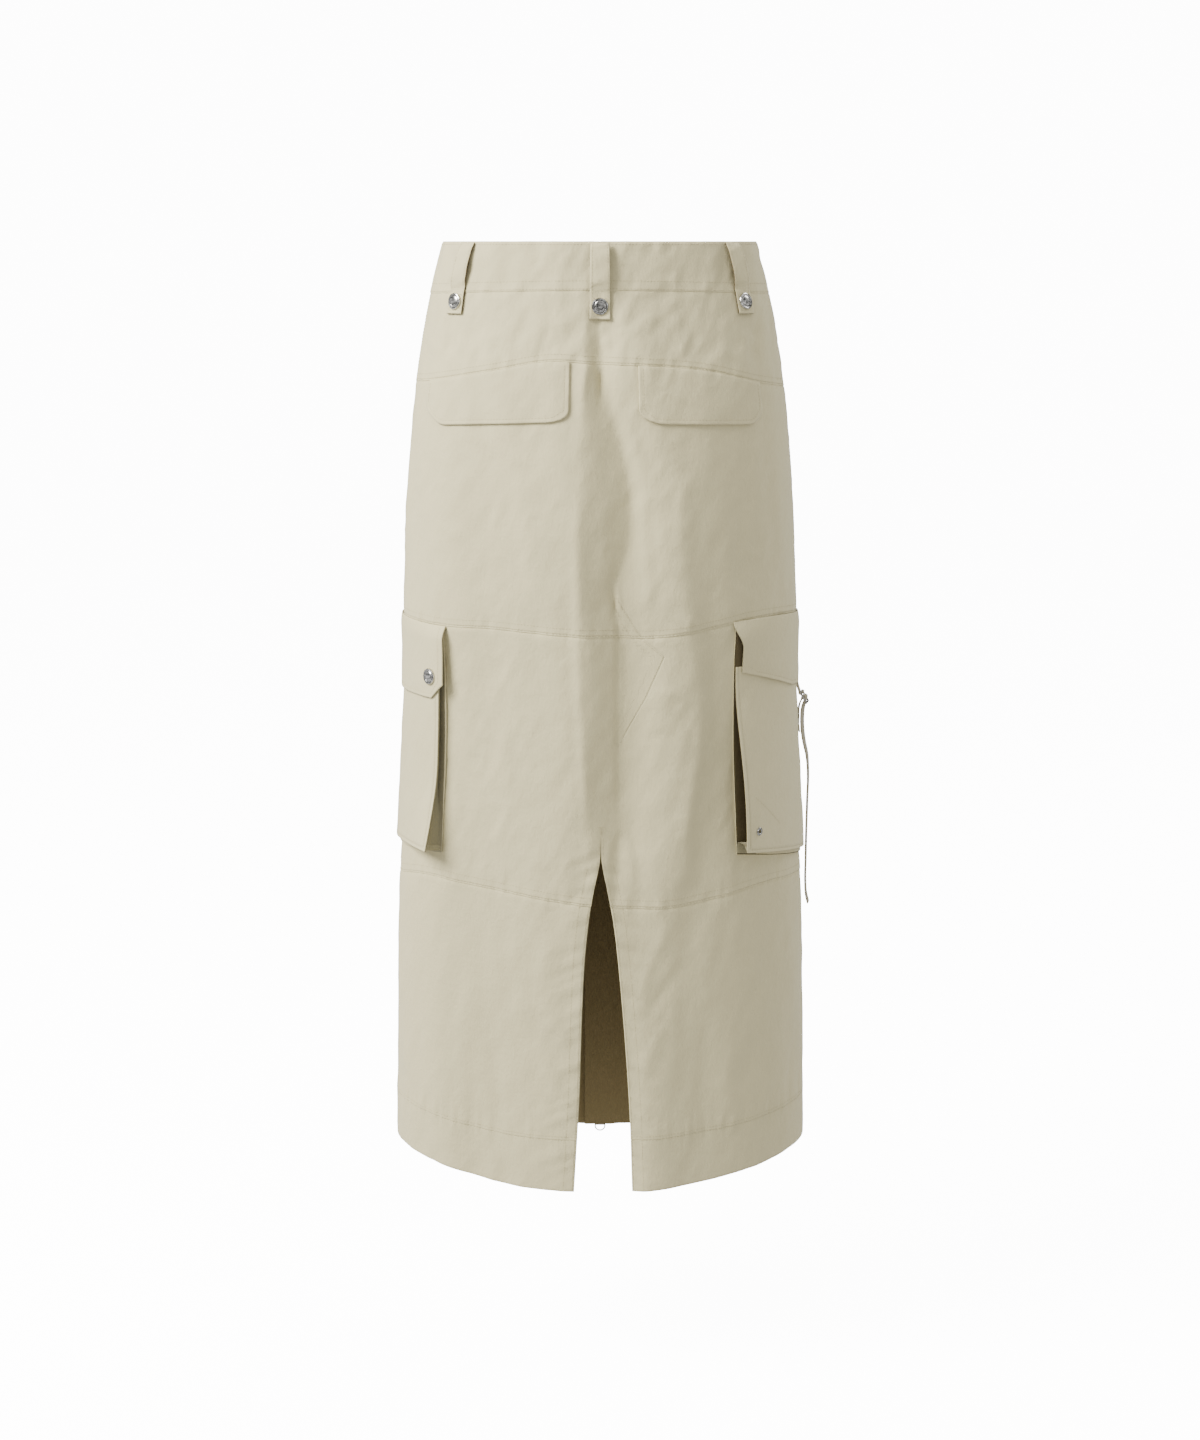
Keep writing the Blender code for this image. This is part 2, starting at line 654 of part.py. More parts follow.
def spaced(corners, count):
    """The corners' angles with others between them, evenly enough, about count in all."""
    total = abs(corners[-1] - corners[0])
    angles = [corners[0]]
    for start, end in zip(corners, corners[1:]):
        parts = max(1, round(count * abs(end - start) / total))
        angles += [start + (end - start) * k / parts for k in range(1, parts + 1)]
    return angles


def make_back_flaps():
    for hand, outline in BACK_FLAPS.items():
        lower = level(outline, 1)
        angles = spaced([row[0] for row in outline], 14)
        rows = 3

        def point(i, j, layer, side, angles=angles, lower=lower):
            upper = yoke_seam(angles[i]) + SEAM_GAP
            drop = upper + (lower(angles[i]) - upper) * j / rows
            return place(angles[i], drop, FLAP_GAP + FLAP_THICKNESS * layer)

        cloth(f"back_flap_{hand}", len(angles) - 1, rows, point, "flap_twill")


# Cargo pockets.


class Pocket:
    """The shape of one cargo pocket: its bottom edge and how far its face stands off the skirt."""

    def __init__(self, hand):
        self.sizes = POCKETS[hand]
        self.back, self.front = self.sizes["back"], self.sizes["front"]
        self.middle = math.copysign(90.0, self.back)
        rows = self.sizes["off"]
        self.at_back, self.at_side, self.at_front = (curve_through(rows, k) for k in (1, 2, 3))

    def bottom(self, angle):
        share = (angle - self.back) / (self.front - self.back)
        start, end = self.sizes["back_bottom"], self.sizes["front_bottom"]
        return start + (end - start) * math.sin(min(max(share, 0.0), 1.0) * math.pi / 2)

    def off(self, angle, drop):
        """The face's outer side, from the skirt."""
        edge, at_edge = (self.back, self.at_back) if abs(angle) < 90 else (self.front, self.at_front)
        span = abs(edge - self.middle) - SIDE_FLAT
        share = max(abs(angle - self.middle) - SIDE_FLAT, 0.0) / span
        down = (drop - POCKET_TOP) / (self.bottom(angle) - POCKET_TOP)
        side = self.at_side(down)
        return side + (at_edge(down) - side) * min(share, 1.0) ** 2

    def face(self, angle, drop):
        return place(angle, drop, self.off(angle, drop))

    def flap_off(self, angle, drop):
        """The flap's inner side: it leaves the seam and then lies on the face."""
        start = knee_seam(angle)
        rise = min(max((drop - start) / (POCKET_TOP - start), 0.0), 1.0)
        ease = math.sin(rise * math.pi / 2)
        tip = self.sizes["tip_lift"] * max(0.0, 1 - abs(angle - self.middle) / TIP_LIFT_DEGREES)
        return GAP + (self.off(angle, max(drop, POCKET_TOP)) + FLAP_SEAM + tip) * ease

    def flap(self, angle, drop):
        return place(angle, drop, self.flap_off(angle, drop) + POCKET_FLAP_THICKNESS)


def make_pocket(hand):
    pocket = Pocket(hand)
    sign = math.copysign(1.0, pocket.back)
    corners = [pocket.back, pocket.middle, pocket.front]
    angles = spaced(corners, POCKET_COLUMNS)

    def face_point(i, j, layer, side):
        drop = POCKET_TOP + (pocket.bottom(angles[i]) - POCKET_TOP) * j / POCKET_ROWS
        return place(angles[i], drop, pocket.off(angles[i], drop) + (layer - 1) * CLOTH)

    cloth(f"pocket_face_{hand}", len(angles) - 1, POCKET_ROWS, face_point, "cotton_twill")

    inset = sign * GUSSET_INSET_DEGREES
    foot, rim = [], []
    steps = POCKET_ROWS

    def add(angle, share):
        drop = POCKET_TOP + (pocket.bottom(angle) - CLOTH - POCKET_TOP) * share
        lower = drop + GUSSET_FOOT_LOWER * share
        foot.append(place(angle, lower, GUSSET_SEAM))
        rim.append(place(angle, drop, pocket.off(angle, drop) - CLOTH - GUSSET_SEAM))

    for j in range(steps):
        add(pocket.back + inset, j / steps)
    for angle in [pocket.back + inset, *angles[1:-1], pocket.front - inset]:
        add(angle, 1.0)
    for j in range(steps):
        add(pocket.front - inset, 1 - (j + 1) / steps)
    grid = [[low.lerp(high, share) for share in (0.0, 0.5, 1.0)] for low, high in zip(foot, rim)]
    thick(f"pocket_gusset_{hand}", grid, CLOTH, "cotton_twill")

    outline = sorted(pocket.sizes["flap"])
    lower = level(outline, 1)
    flap_angles = spaced([row[0] for row in outline], FLAP_COLUMNS)

    def flap_point(i, j, layer, side):
        angle = flap_angles[i]
        upper = knee_seam(angle) + SEAM_GAP
        drop = upper + (lower(angle) - upper) * FLAP_SHARES[j]
        return place(angle, drop, pocket.flap_off(angle, drop) + POCKET_FLAP_THICKNESS * layer)

    rows = len(FLAP_SHARES) - 1
    cloth(f"pocket_flap_{hand}", len(flap_angles) - 1, rows, flap_point, "flap_twill")
    return pocket


def make_pocket_metal(left, right):
    for place_name, (angle, drop) in POCKET_SNAPS.items():
        where = seat(left.flap, angle, drop, GAP)
        turned(f"snap_pocket_{place_name}", cap_profile(SNAP_RADIUS, SNAP_HEIGHT), where, "nickel")
    make_washer("pocket_eyelet", EYELET_PROFILE, seat(right.face, *EYELET_PLACE, GAP), "nickel")


def make_washer(name, profile, where, colour, segments=20):
    """A ring turned about the frame's Z axis from a closed profile of radius and height."""
    mesh = bmesh.new()
    rings = []
    for k in range(segments):
        turn = 2 * math.pi * k / segments
        points = [Vector((r * math.cos(turn), r * math.sin(turn), h)) for r, h in profile]
        rings.append([mesh.verts.new(where @ point) for point in points])
    for k in range(segments):
        one, two = rings[k], rings[(k + 1) % segments]
        for m in range(len(profile)):
            n = (m + 1) % len(profile)
            mesh.faces.new((one[m], one[n], two[n], two[m]))
    return finish(name, mesh, colour)


# Webbing and slider at the side.


def side_point(drop, x, y):
    return Vector((x, y, WAIST_TOP - drop))


def buckle_bar_centre(index):
    """The middle of the slider's bar of this number, counted down from its top bar: drop and x."""
    tilt = math.radians(BUCKLE_TILT)
    drop, x = BUCKLE_TOP
    return drop + index * BUCKLE_PITCH * math.cos(tilt), x + index * BUCKLE_PITCH * math.sin(tilt)


def wrap(centre, start, end, steps):
    """Points of a strap's middle round a bar: degrees from straight down, outwards positive."""
    radius = BUCKLE_BAR + GAP + STRAP_THICKNESS / 2
    turns = [math.radians(start + (end - start) * k / steps) for k in range(steps + 1)]
    return [(centre[0] + radius * math.cos(t), centre[1] + radius * math.sin(t)) for t in turns]


def webbing(name, line):
    grid = [[side_point(drop, x, STRAP_WIDTH * (k / 2 - 0.5)) for k in range(3)] for drop, x in line]
    thick(name, grid, STRAP_THICKNESS, "webbing")


def on_face(pocket, rows):
    return [(drop, pocket.face(pocket.middle, drop).x + off) for drop, off in rows]


def make_side_strap(pocket):
    top, middle, bottom = (buckle_bar_centre(index) for index in range(3))
    webbing("strap", on_face(pocket, ROOT_ON_FACE) + wrap(middle, -70, -290, 8) + STRAP_TAIL)
    webbing("strap_tab", on_face(pocket, TAB_ON_FACE) + wrap(top, -100, 125, 8))
    parts = []
    for index, (drop, x) in enumerate((top, middle, bottom)):
        where = Matrix.Translation(side_point(drop, x, 0)) @ Matrix.Rotation(math.pi / 2, 4, "X")
        parts.append((f"bar_{index}", where, 2 * BUCKLE_RAIL + BUCKLE_BAR))
    lean = Matrix.Rotation(-math.radians(BUCKLE_TILT), 4, "Y")
    for hand in (-1, 1):
        where = Matrix.Translation(side_point(*middle, hand * BUCKLE_RAIL)) @ lean
        parts.append((f"rail_{hand}", where, 2 * (BUCKLE_PITCH + BUCKLE_BAR)))
    buckle = None
    for name, where, length in parts:
        mesh = bmesh.new()
        round_bar = {"radius1": BUCKLE_BAR, "radius2": BUCKLE_BAR, "segments": 10}
        bmesh.ops.create_cone(mesh, cap_ends=True, depth=length, matrix=where, **round_bar)
        rod = finish(name if buckle else "strap_buckle", mesh, "nickel")
        if buckle is None:
            buckle = rod
            continue
        rod.hide_render = True
        rod.display_type = "WIRE"
        combine(buckle, "UNION", rod)


def main():
    clear_scene()
    make_body()
    make_waistband()
    make_zip()
    for end in ("top", "bottom"):
        make_slider(end)
    make_loops()
    make_back_flaps()
    left = make_pocket("left")
    right = make_pocket("right")
    make_pocket_metal(left, right)
    make_side_strap(right)


main()
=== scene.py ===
"""The cloth, sewing and metal of a cargo utility skirt, dressed over its fixed solids. Metres, +Z up.

The wearer faces +Y. A place on the skirt is an angle and a drop. The angle is 0 at the centre back,
90 at the +X side, -90 at the -X side and 180 at the centre front. The drop runs down from the
waist's top edge. A third number, out, moves a point off the skirt along its level normal.
"""

import json
import math

import bpy
import numpy as np
from mathutils import Matrix, Vector

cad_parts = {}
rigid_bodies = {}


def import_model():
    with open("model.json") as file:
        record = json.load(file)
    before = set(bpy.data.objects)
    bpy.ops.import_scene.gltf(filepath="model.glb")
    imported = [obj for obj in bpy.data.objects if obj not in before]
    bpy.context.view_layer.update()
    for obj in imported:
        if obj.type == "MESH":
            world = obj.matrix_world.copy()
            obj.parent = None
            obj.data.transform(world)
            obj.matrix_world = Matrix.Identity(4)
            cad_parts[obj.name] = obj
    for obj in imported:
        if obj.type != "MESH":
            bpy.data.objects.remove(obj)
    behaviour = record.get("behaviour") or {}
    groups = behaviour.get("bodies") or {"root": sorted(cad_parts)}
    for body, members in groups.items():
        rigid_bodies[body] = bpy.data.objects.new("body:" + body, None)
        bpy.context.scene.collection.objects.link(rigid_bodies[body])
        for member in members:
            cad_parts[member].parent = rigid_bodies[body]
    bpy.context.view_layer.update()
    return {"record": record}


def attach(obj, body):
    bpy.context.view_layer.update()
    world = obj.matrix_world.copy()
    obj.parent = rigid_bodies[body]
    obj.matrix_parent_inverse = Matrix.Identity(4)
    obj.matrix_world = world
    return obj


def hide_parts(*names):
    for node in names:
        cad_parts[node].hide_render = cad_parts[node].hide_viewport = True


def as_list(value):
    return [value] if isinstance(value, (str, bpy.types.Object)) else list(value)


bl_info = {
    "name": "Cargo Skirt",
    "version": (1, 0, 0),
    "blender": (4, 5, 0),
    "location": "3D View > Sidebar > Skirt",
    "description": "Makes the cloth, sewing and metal of a cargo utility skirt",
    "category": "Add Mesh",
}

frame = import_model()
FINISHES = {material["slot"]: material for material in frame["record"]["materials"]}


def metres(rows, first=0):
    """A table's rows, whose lengths are written in millimetres and start at this column."""
    return [(*row[:first], *(round(length / 1000, 7) for length in row[first:])) for row in rows]


# The skirt's form, as its solids have it.
WAIST_TOP = 0.0225
CLOTH = 0.0012
HANDS = {"left": -1, "right": 1}
WAISTBAND = ("waistband_left_cloth", "waistband_right_cloth")
SECTIONS = metres([
    # drop, half width, back depth, front depth
    (0, 142.2, 90, 95), (45, 154.8, 96.2, 98), (80, 161.8, 103, 100.5), (120, 168.3, 112, 103),
    (200, 177, 122, 107), (300, 182.9, 124, 108), (335, 184.2, 123, 107), (370, 182.3, 121.9, 105.8),
    (410, 181.6, 120.8, 104.7), (450, 182.2, 119.7, 103.7), (520, 186.6, 117.8, 101.5),
    (600, 192.4, 115, 98), (700, 195.3, 112.5, 95), (800, 198, 110.5, 92), (890, 199.5, 109.8, 89.8),
])
FOLDS = [
    # Side of the skirt, how fast the fold's right side levels out, and its rows: drop, place across,
    # depth, reach to the left and reach to the right.
    ("back", 4.5, metres([
        (46, 0, 0, 12, 26), (64, -1, 4.6, 12, 26), (85, -1, 6.6, 12.5, 28), (105, 0, 7.4, 13.5, 32),
        (124, 2, 7.8, 15.5, 36), (155, 11, 9.4, 25.5, 42), (194, 22, 12.6, 37, 44), (243, 27, 13.8, 42, 48),
        (279, 21, 13.2, 36.5, 66), (305, 13, 12.8, 28.5, 78), (350, 20.5, 12.6, 31.5, 74),
        (430, 20.5, 12.4, 31.5, 72), (500, 20.5, 11.8, 32.5, 64), (536, 23, 9.8, 33.5, 54),
        (560, 26, 6.6, 31.5, 40), (600, 31, 3, 27.5, 32), (650, 35, 0, 27.5, 30),
    ])),
    ("back", 1.0, metres([
        (110, -98, 0, 50, 78), (200, -100, 4.6, 50, 82), (350, -100, 5.4, 50, 84), (520, -104, 5.6, 50, 86),
        (660, -110, 6, 50, 88), (800, -112, 6.4, 50, 90), (890, -112, 6.4, 50, 90),
    ])),
    ("back", 1.0, metres([
        (180, 68, 0, 45, 30), (270, 72, -2, 45, 30), (340, 78, -3.8, 48, 28), (440, 80, -4, 50, 28),
        (510, 76, -2.6, 48, 30), (590, 68, 0, 45, 30),
    ])),
    ("back", 1.0, metres([
        (640, 40, 0, 18, 50), (720, 43, -1.8, 18, 50), (800, 45, -3.4, 19, 52), (890, 46, -5, 20, 52),
    ])),
    ("back", 1.0, metres([
        (330, 108, 0, 26, 26), (380, 104, 1, 26, 26), (430, 96, 0.8, 26, 26), (500, 98, 1, 26, 26),
        (570, 91, 2.6, 26, 26), (640, 80, 2.2, 26, 26), (760, 70, 0, 26, 26),
    ])),
    ("front", 1.0, metres([
        (120, -95, 0, 32, 30), (220, -88, 3.5, 32, 30), (400, -72, 4, 32, 30), (560, -66, 3, 32, 30),
        (720, -60, 0, 32, 30),
    ])),
    ("front", 1.0, metres([
        (130, 100, 0, 30, 32), (240, 92, 3.5, 30, 32), (420, 78, 4, 30, 32), (580, 70, 3, 30, 32),
        (740, 64, 0, 30, 32),
    ])),
]
YOKE_SEAM = metres([
    # angle, drop
    (-180, 120), (-135, 125.5), (-85, 125.5), (-64, 122.8), (-35, 112.6), (-15, 103.6), (0, 105.8),
    (12, 107), (32, 111.5), (57, 123.9), (80, 129.5), (135, 126.5), (180, 120),
], 1)
KNEE_SEAM = metres([
    (-180, 350), (-130, 343), (-84, 339.8), (-49, 342.2), (-33, 341.6), (-15, 344.2), (0, 346.6),
    (12, 348.2), (25, 344.5), (47, 335.6), (81, 337.6), (130, 343), (180, 350),
], 1)
LOWER_SEAM = metres([
    (-180, 600), (-130, 594), (-82, 588), (-55, 579.5), (-42, 582.7), (-21, 589.1), (-2, 596.2),
    (23, 598.4), (33, 594), (51, 586.6), (75, 588), (130, 594), (180, 600),
], 1)
WAIST_SEAM_CENTRE, WAIST_SEAM_SIDE = 0.0426, 0.0465
BAND_OUT, BAND_THICKNESS = 0.0003, 0.0019
HEM_SIDE, HEM_BACK, HEM_FRONT = 0.8545, 0.8758, 0.8840
HEM_TURN_SIDE, HEM_TURN_MIDDLE = 0.0480, 0.0547
HEM_SAG, HEM_SAG_ANGLE, HEM_SAG_REACH = 0.0030, -29.0, 27.0  # it hangs lower left of the vent
VENT = metres([
    # drop, left edge and right edge across the skirt
    (528, 0.9, 0.9), (557, -0.6, 2), (575, -4.4, 5.8), (596, -8.2, 9.8), (620, -11.3, 13.4),
    (646, -13.8, 16.2), (700, -16.6, 21), (790, -19.6, 27.2), (876, -24.4, 30.1),
])
SLIT_TOP = VENT[0][0]
ZIP_EDGE = 0.0055
FLATNESS = 0.65  # depth over width of the section that cloth is measured along
STEEP_ROUND, STEEP_SOFT, STEEP_START = 0.06, 0.11, 0.97  # a steep fold's bottom, left edge and right side

# Belt loops, snaps and flaps.
LOOP_WIDTH, LOOP_THICKNESS = 0.0175, 0.0016
LOOP_LINE = metres([
    # drop, out
    (1.2, 2.1), (5, 5), (11, 7.2), (22, 7.8), (34, 7), (40, 4.4), (45.5, 1.7), (56, 1.4), (67.5, 1.4),
])
LOOPS = {
    # name: angle, how much higher than the centre back loop it ends, share of its stand-off
    "back": (0.0, 0.0, 0.70),
    "left_back": (-54.5, 0.0040, 0.62),
    "right_back": (54.5, 0.0040, 0.62),
    "left_front": (-126.0, 0.0040, 0.62),
    "right_front": (126.0, 0.0040, 0.62),
}
LOOP_CAP_DROP, LOOP_LENGTH, LOOP_ROW = 0.0560, 0.068, 0.0115
SNAP_RADIUS = 0.0075
SNAP_STEPS = metres([
    # inset, rise
    (0.35, 0.75), (0.65, 0.3), (0.55, -0.1), (0.45, -0.52), (0.35, -0.05), (0.5, 0.4), (1, 0.28),
    (1.3, 0.2), (1.3, 0.08),
])
FLAP_THICKNESS, FLAP_GAP, FLAP_STITCHING = 0.0014, 0.0004, 0.0040
# The flaps' rims and undersides take painted half shade.
FLAP_FINISH = {
    "slot": "flap_twill", "thickness": FLAP_THICKNESS, "round_edge": 0.0002,
    "colours": ("flap_twill", "painted_half_shade"), "rim": 1,
}
BACK_FLAPS = {
    # angle and drop of the lower edge
    "left": metres([
        (-64.8, 144), (-63.9, 148.2), (-62.2, 151.5), (-57, 159), (-55.2, 160.5), (-53, 161.2),
        (-15.6, 156.3), (-13.4, 155.3), (-11.4, 153.6), (-10.1, 151.3), (-9.3, 148.2), (-9.1, 144),
    ], 1),
    "right": metres([
        (11.5, 145), (11.9, 148.7), (13, 152.4), (14.9, 155.1), (16.7, 156.8), (18.9, 157.8),
        (50.1, 160.6), (52.6, 158.8), (55.5, 155.1), (56.7, 152), (57.2, 148),
    ], 1),
}

# Cargo pockets. Each "off" row holds the share of the way down the face, and how far its outer side
# is from the skirt at the back edge, at the side and at the front edge. "flap" rows are angle and drop
# of the flap's lower edge. "tip_lift" is how far the flap's point stands off the face, "lean" how many
# degrees further back the flap starts at its seam, "corner" how much lower the face starts at its back
# edge, and "flat" the share that the gusset's pleat loses towards the foot.
POCKET_TOP = 0.3570
SIDE_FLAT = 12.0
GUSSET_FOOT_LOWER, GUSSET_SEAM, GUSSET_INSET_DEGREES = 0.0060, 0.0009, 0.9
GUSSET_PITCH, GUSSET_WIDTH = 0.0034, 0.024
FLAP_SEAM = 0.0004
TIP_LIFT_DEGREES = 14.0
POCKETS = {
    "left": {
        "back": -51.6, "foot": -50.7, "front": -127.0, "back_bottom": 0.5510, "front_bottom": 0.5560,
        "off": metres([
            (0, 6, 1.2, 5.5), (0.25, 8.5, 3.6, 7.5), (0.45, 9.5, 5.6, 9), (0.7, 11, 6.2, 10.5),
            (0.86, 16.5, 6, 14), (1, 22.5, 5.4, 18),
        ], 1),
        "flap": metres([(-127, 396), (-122, 409), (-90, 409.5), (-54.6, 409.5), (-49.3, 396)], 1),
        "tip_lift": 0.0, "lean": 0.0, "corner": 0.0, "flat": 0.85,
    },
    "right": {
        "back": 42.0, "foot": 41.6, "front": 119.0, "back_bottom": 0.5490, "front_bottom": 0.5700,
        "off": metres([
            (0, 3.6, 1.2, 5.5), (0.12, 3, 2.4, 5.8), (0.25, 4.4, 3.6, 6.5), (0.37, 8.4, 5, 7.5),
            (0.5, 13.4, 5.8, 9), (0.62, 17, 6, 11), (0.75, 19, 5.8, 13.5), (0.87, 19.4, 5.6, 15.5),
            (1, 18.6, 5.2, 17),
        ], 1),
        "flap": metres([(44.2, 383.6), (52, 389), (73, 404), (90, 407.5), (106, 403), (119, 389)], 1),
        "tip_lift": 0.0004, "lean": 3.6, "corner": 0.021, "flat": 0.0,
    },
}
POCKET_SNAPS = {"back": (-55.4, 0.3895), "front": (-121.0, 0.3895)}
EYELET_PLACE, EYELET_RADIUS, EYELET_HOLE = (47.0, 0.5307), 0.0040, 0.0019

# Webbing and its slider, about the plane y = 0: rows of drop and x.
STRAP_WIDTH, STRAP_THICKNESS = 0.0116, 0.0012
BUCKLE_TOP, BUCKLE_TILT, BUCKLE_TURN = (0.4180, 0.1905), 31.0, 12.0
BUCKLE_PITCH, BUCKLE_BAR, BUCKLE_RAIL = 0.0056, 0.0009, 0.0071
TAB_ON_FACE = [(0.3900, 0.0010), (0.3980, 0.0010), (0.4060, 0.0012), (0.4130, 0.0020)]
ROOT_ON_FACE = [(0.4560, 0.0010), (0.4440, 0.0010), (0.4350, 0.0014), (0.4285, 0.0030)]
STRAP_TURNS = {
    # share of the length and how far the webbing is turned about the vertical, in degrees
    "strap_tab": [(0.0, 0.0), (0.3, 2.0), (0.6, 10.0), (1.0, 12.0)],
    "strap": [(0.0, 0.0), (0.06, 9.0), (0.12, 12.0), (0.20, 22.0), (0.28, 20.0), (0.45, 12.0), (1.0, 11.0)],
}
STRAP_TAIL = metres([
    (427.5, 193.6), (434, 192.2), (444, 191.7), (454, 192.2), (464, 193.6), (480, 197), (496, 198.2),
    (523, 197.9), (552, 197.5), (581, 197.4), (603, 197.4), (616, 198.4), (624.4, 200.5),
])

# Zip.
TAPE_EDGE, TAPE_OUTER, TAPE_OUT = 0.0033, 0.0150, -0.0021
TAPE_THICKNESS, TAPE_WIDTH, GUARD_WIDTH = 0.0010, 0.0117, 0.0415
GUARD_STATIONS = metres([
    # across the skirt, out
    (-15.5, -5.7), (0, -5.7), (10, -5.7), (17, -3.6), (23, -2), (32, -2),
])
TOOTH_PITCH, TOOTH_ACROSS, TOOTH_OUT = 0.0026, 0.0012, -0.0026
SLIDER_WIDTH, SLIDER_LENGTH = 0.0090, 0.0110
SLIDER_FACE, SLIDER_BACK = 0.0005, -0.0052
RING_RADIUS, RING_WIRE, RING_CLEARANCE = 0.00495, 0.00065, 0.00035
BAIL_WIDTH, BAIL_WALL = 0.0024, 0.0010
RING_DROPS = {"top": 0.0050, "bottom": 0.8823}
SLIDER_DROPS = {"top": 0.0006, "bottom": 0.8735}

# Dart: two seam lines that meet in a point, as rows of angle and drop. The cloth is marked with its
# distance in millimetres from seams and edges, up to FAR, and with this share of its distance from
# the dart, up to FAR_FROM_DART. The material paints thin lines of shade at set distances along these.
FAR, FAR_FROM_DART, DART_MARK = 30.0, 8.0, 0.7
DART = [(6.1, 0.3174), (10.7, 0.3407), (12.7, 0.3494), (18.7, 0.3646), (13.5, 0.4033), (6.9, 0.4406)]

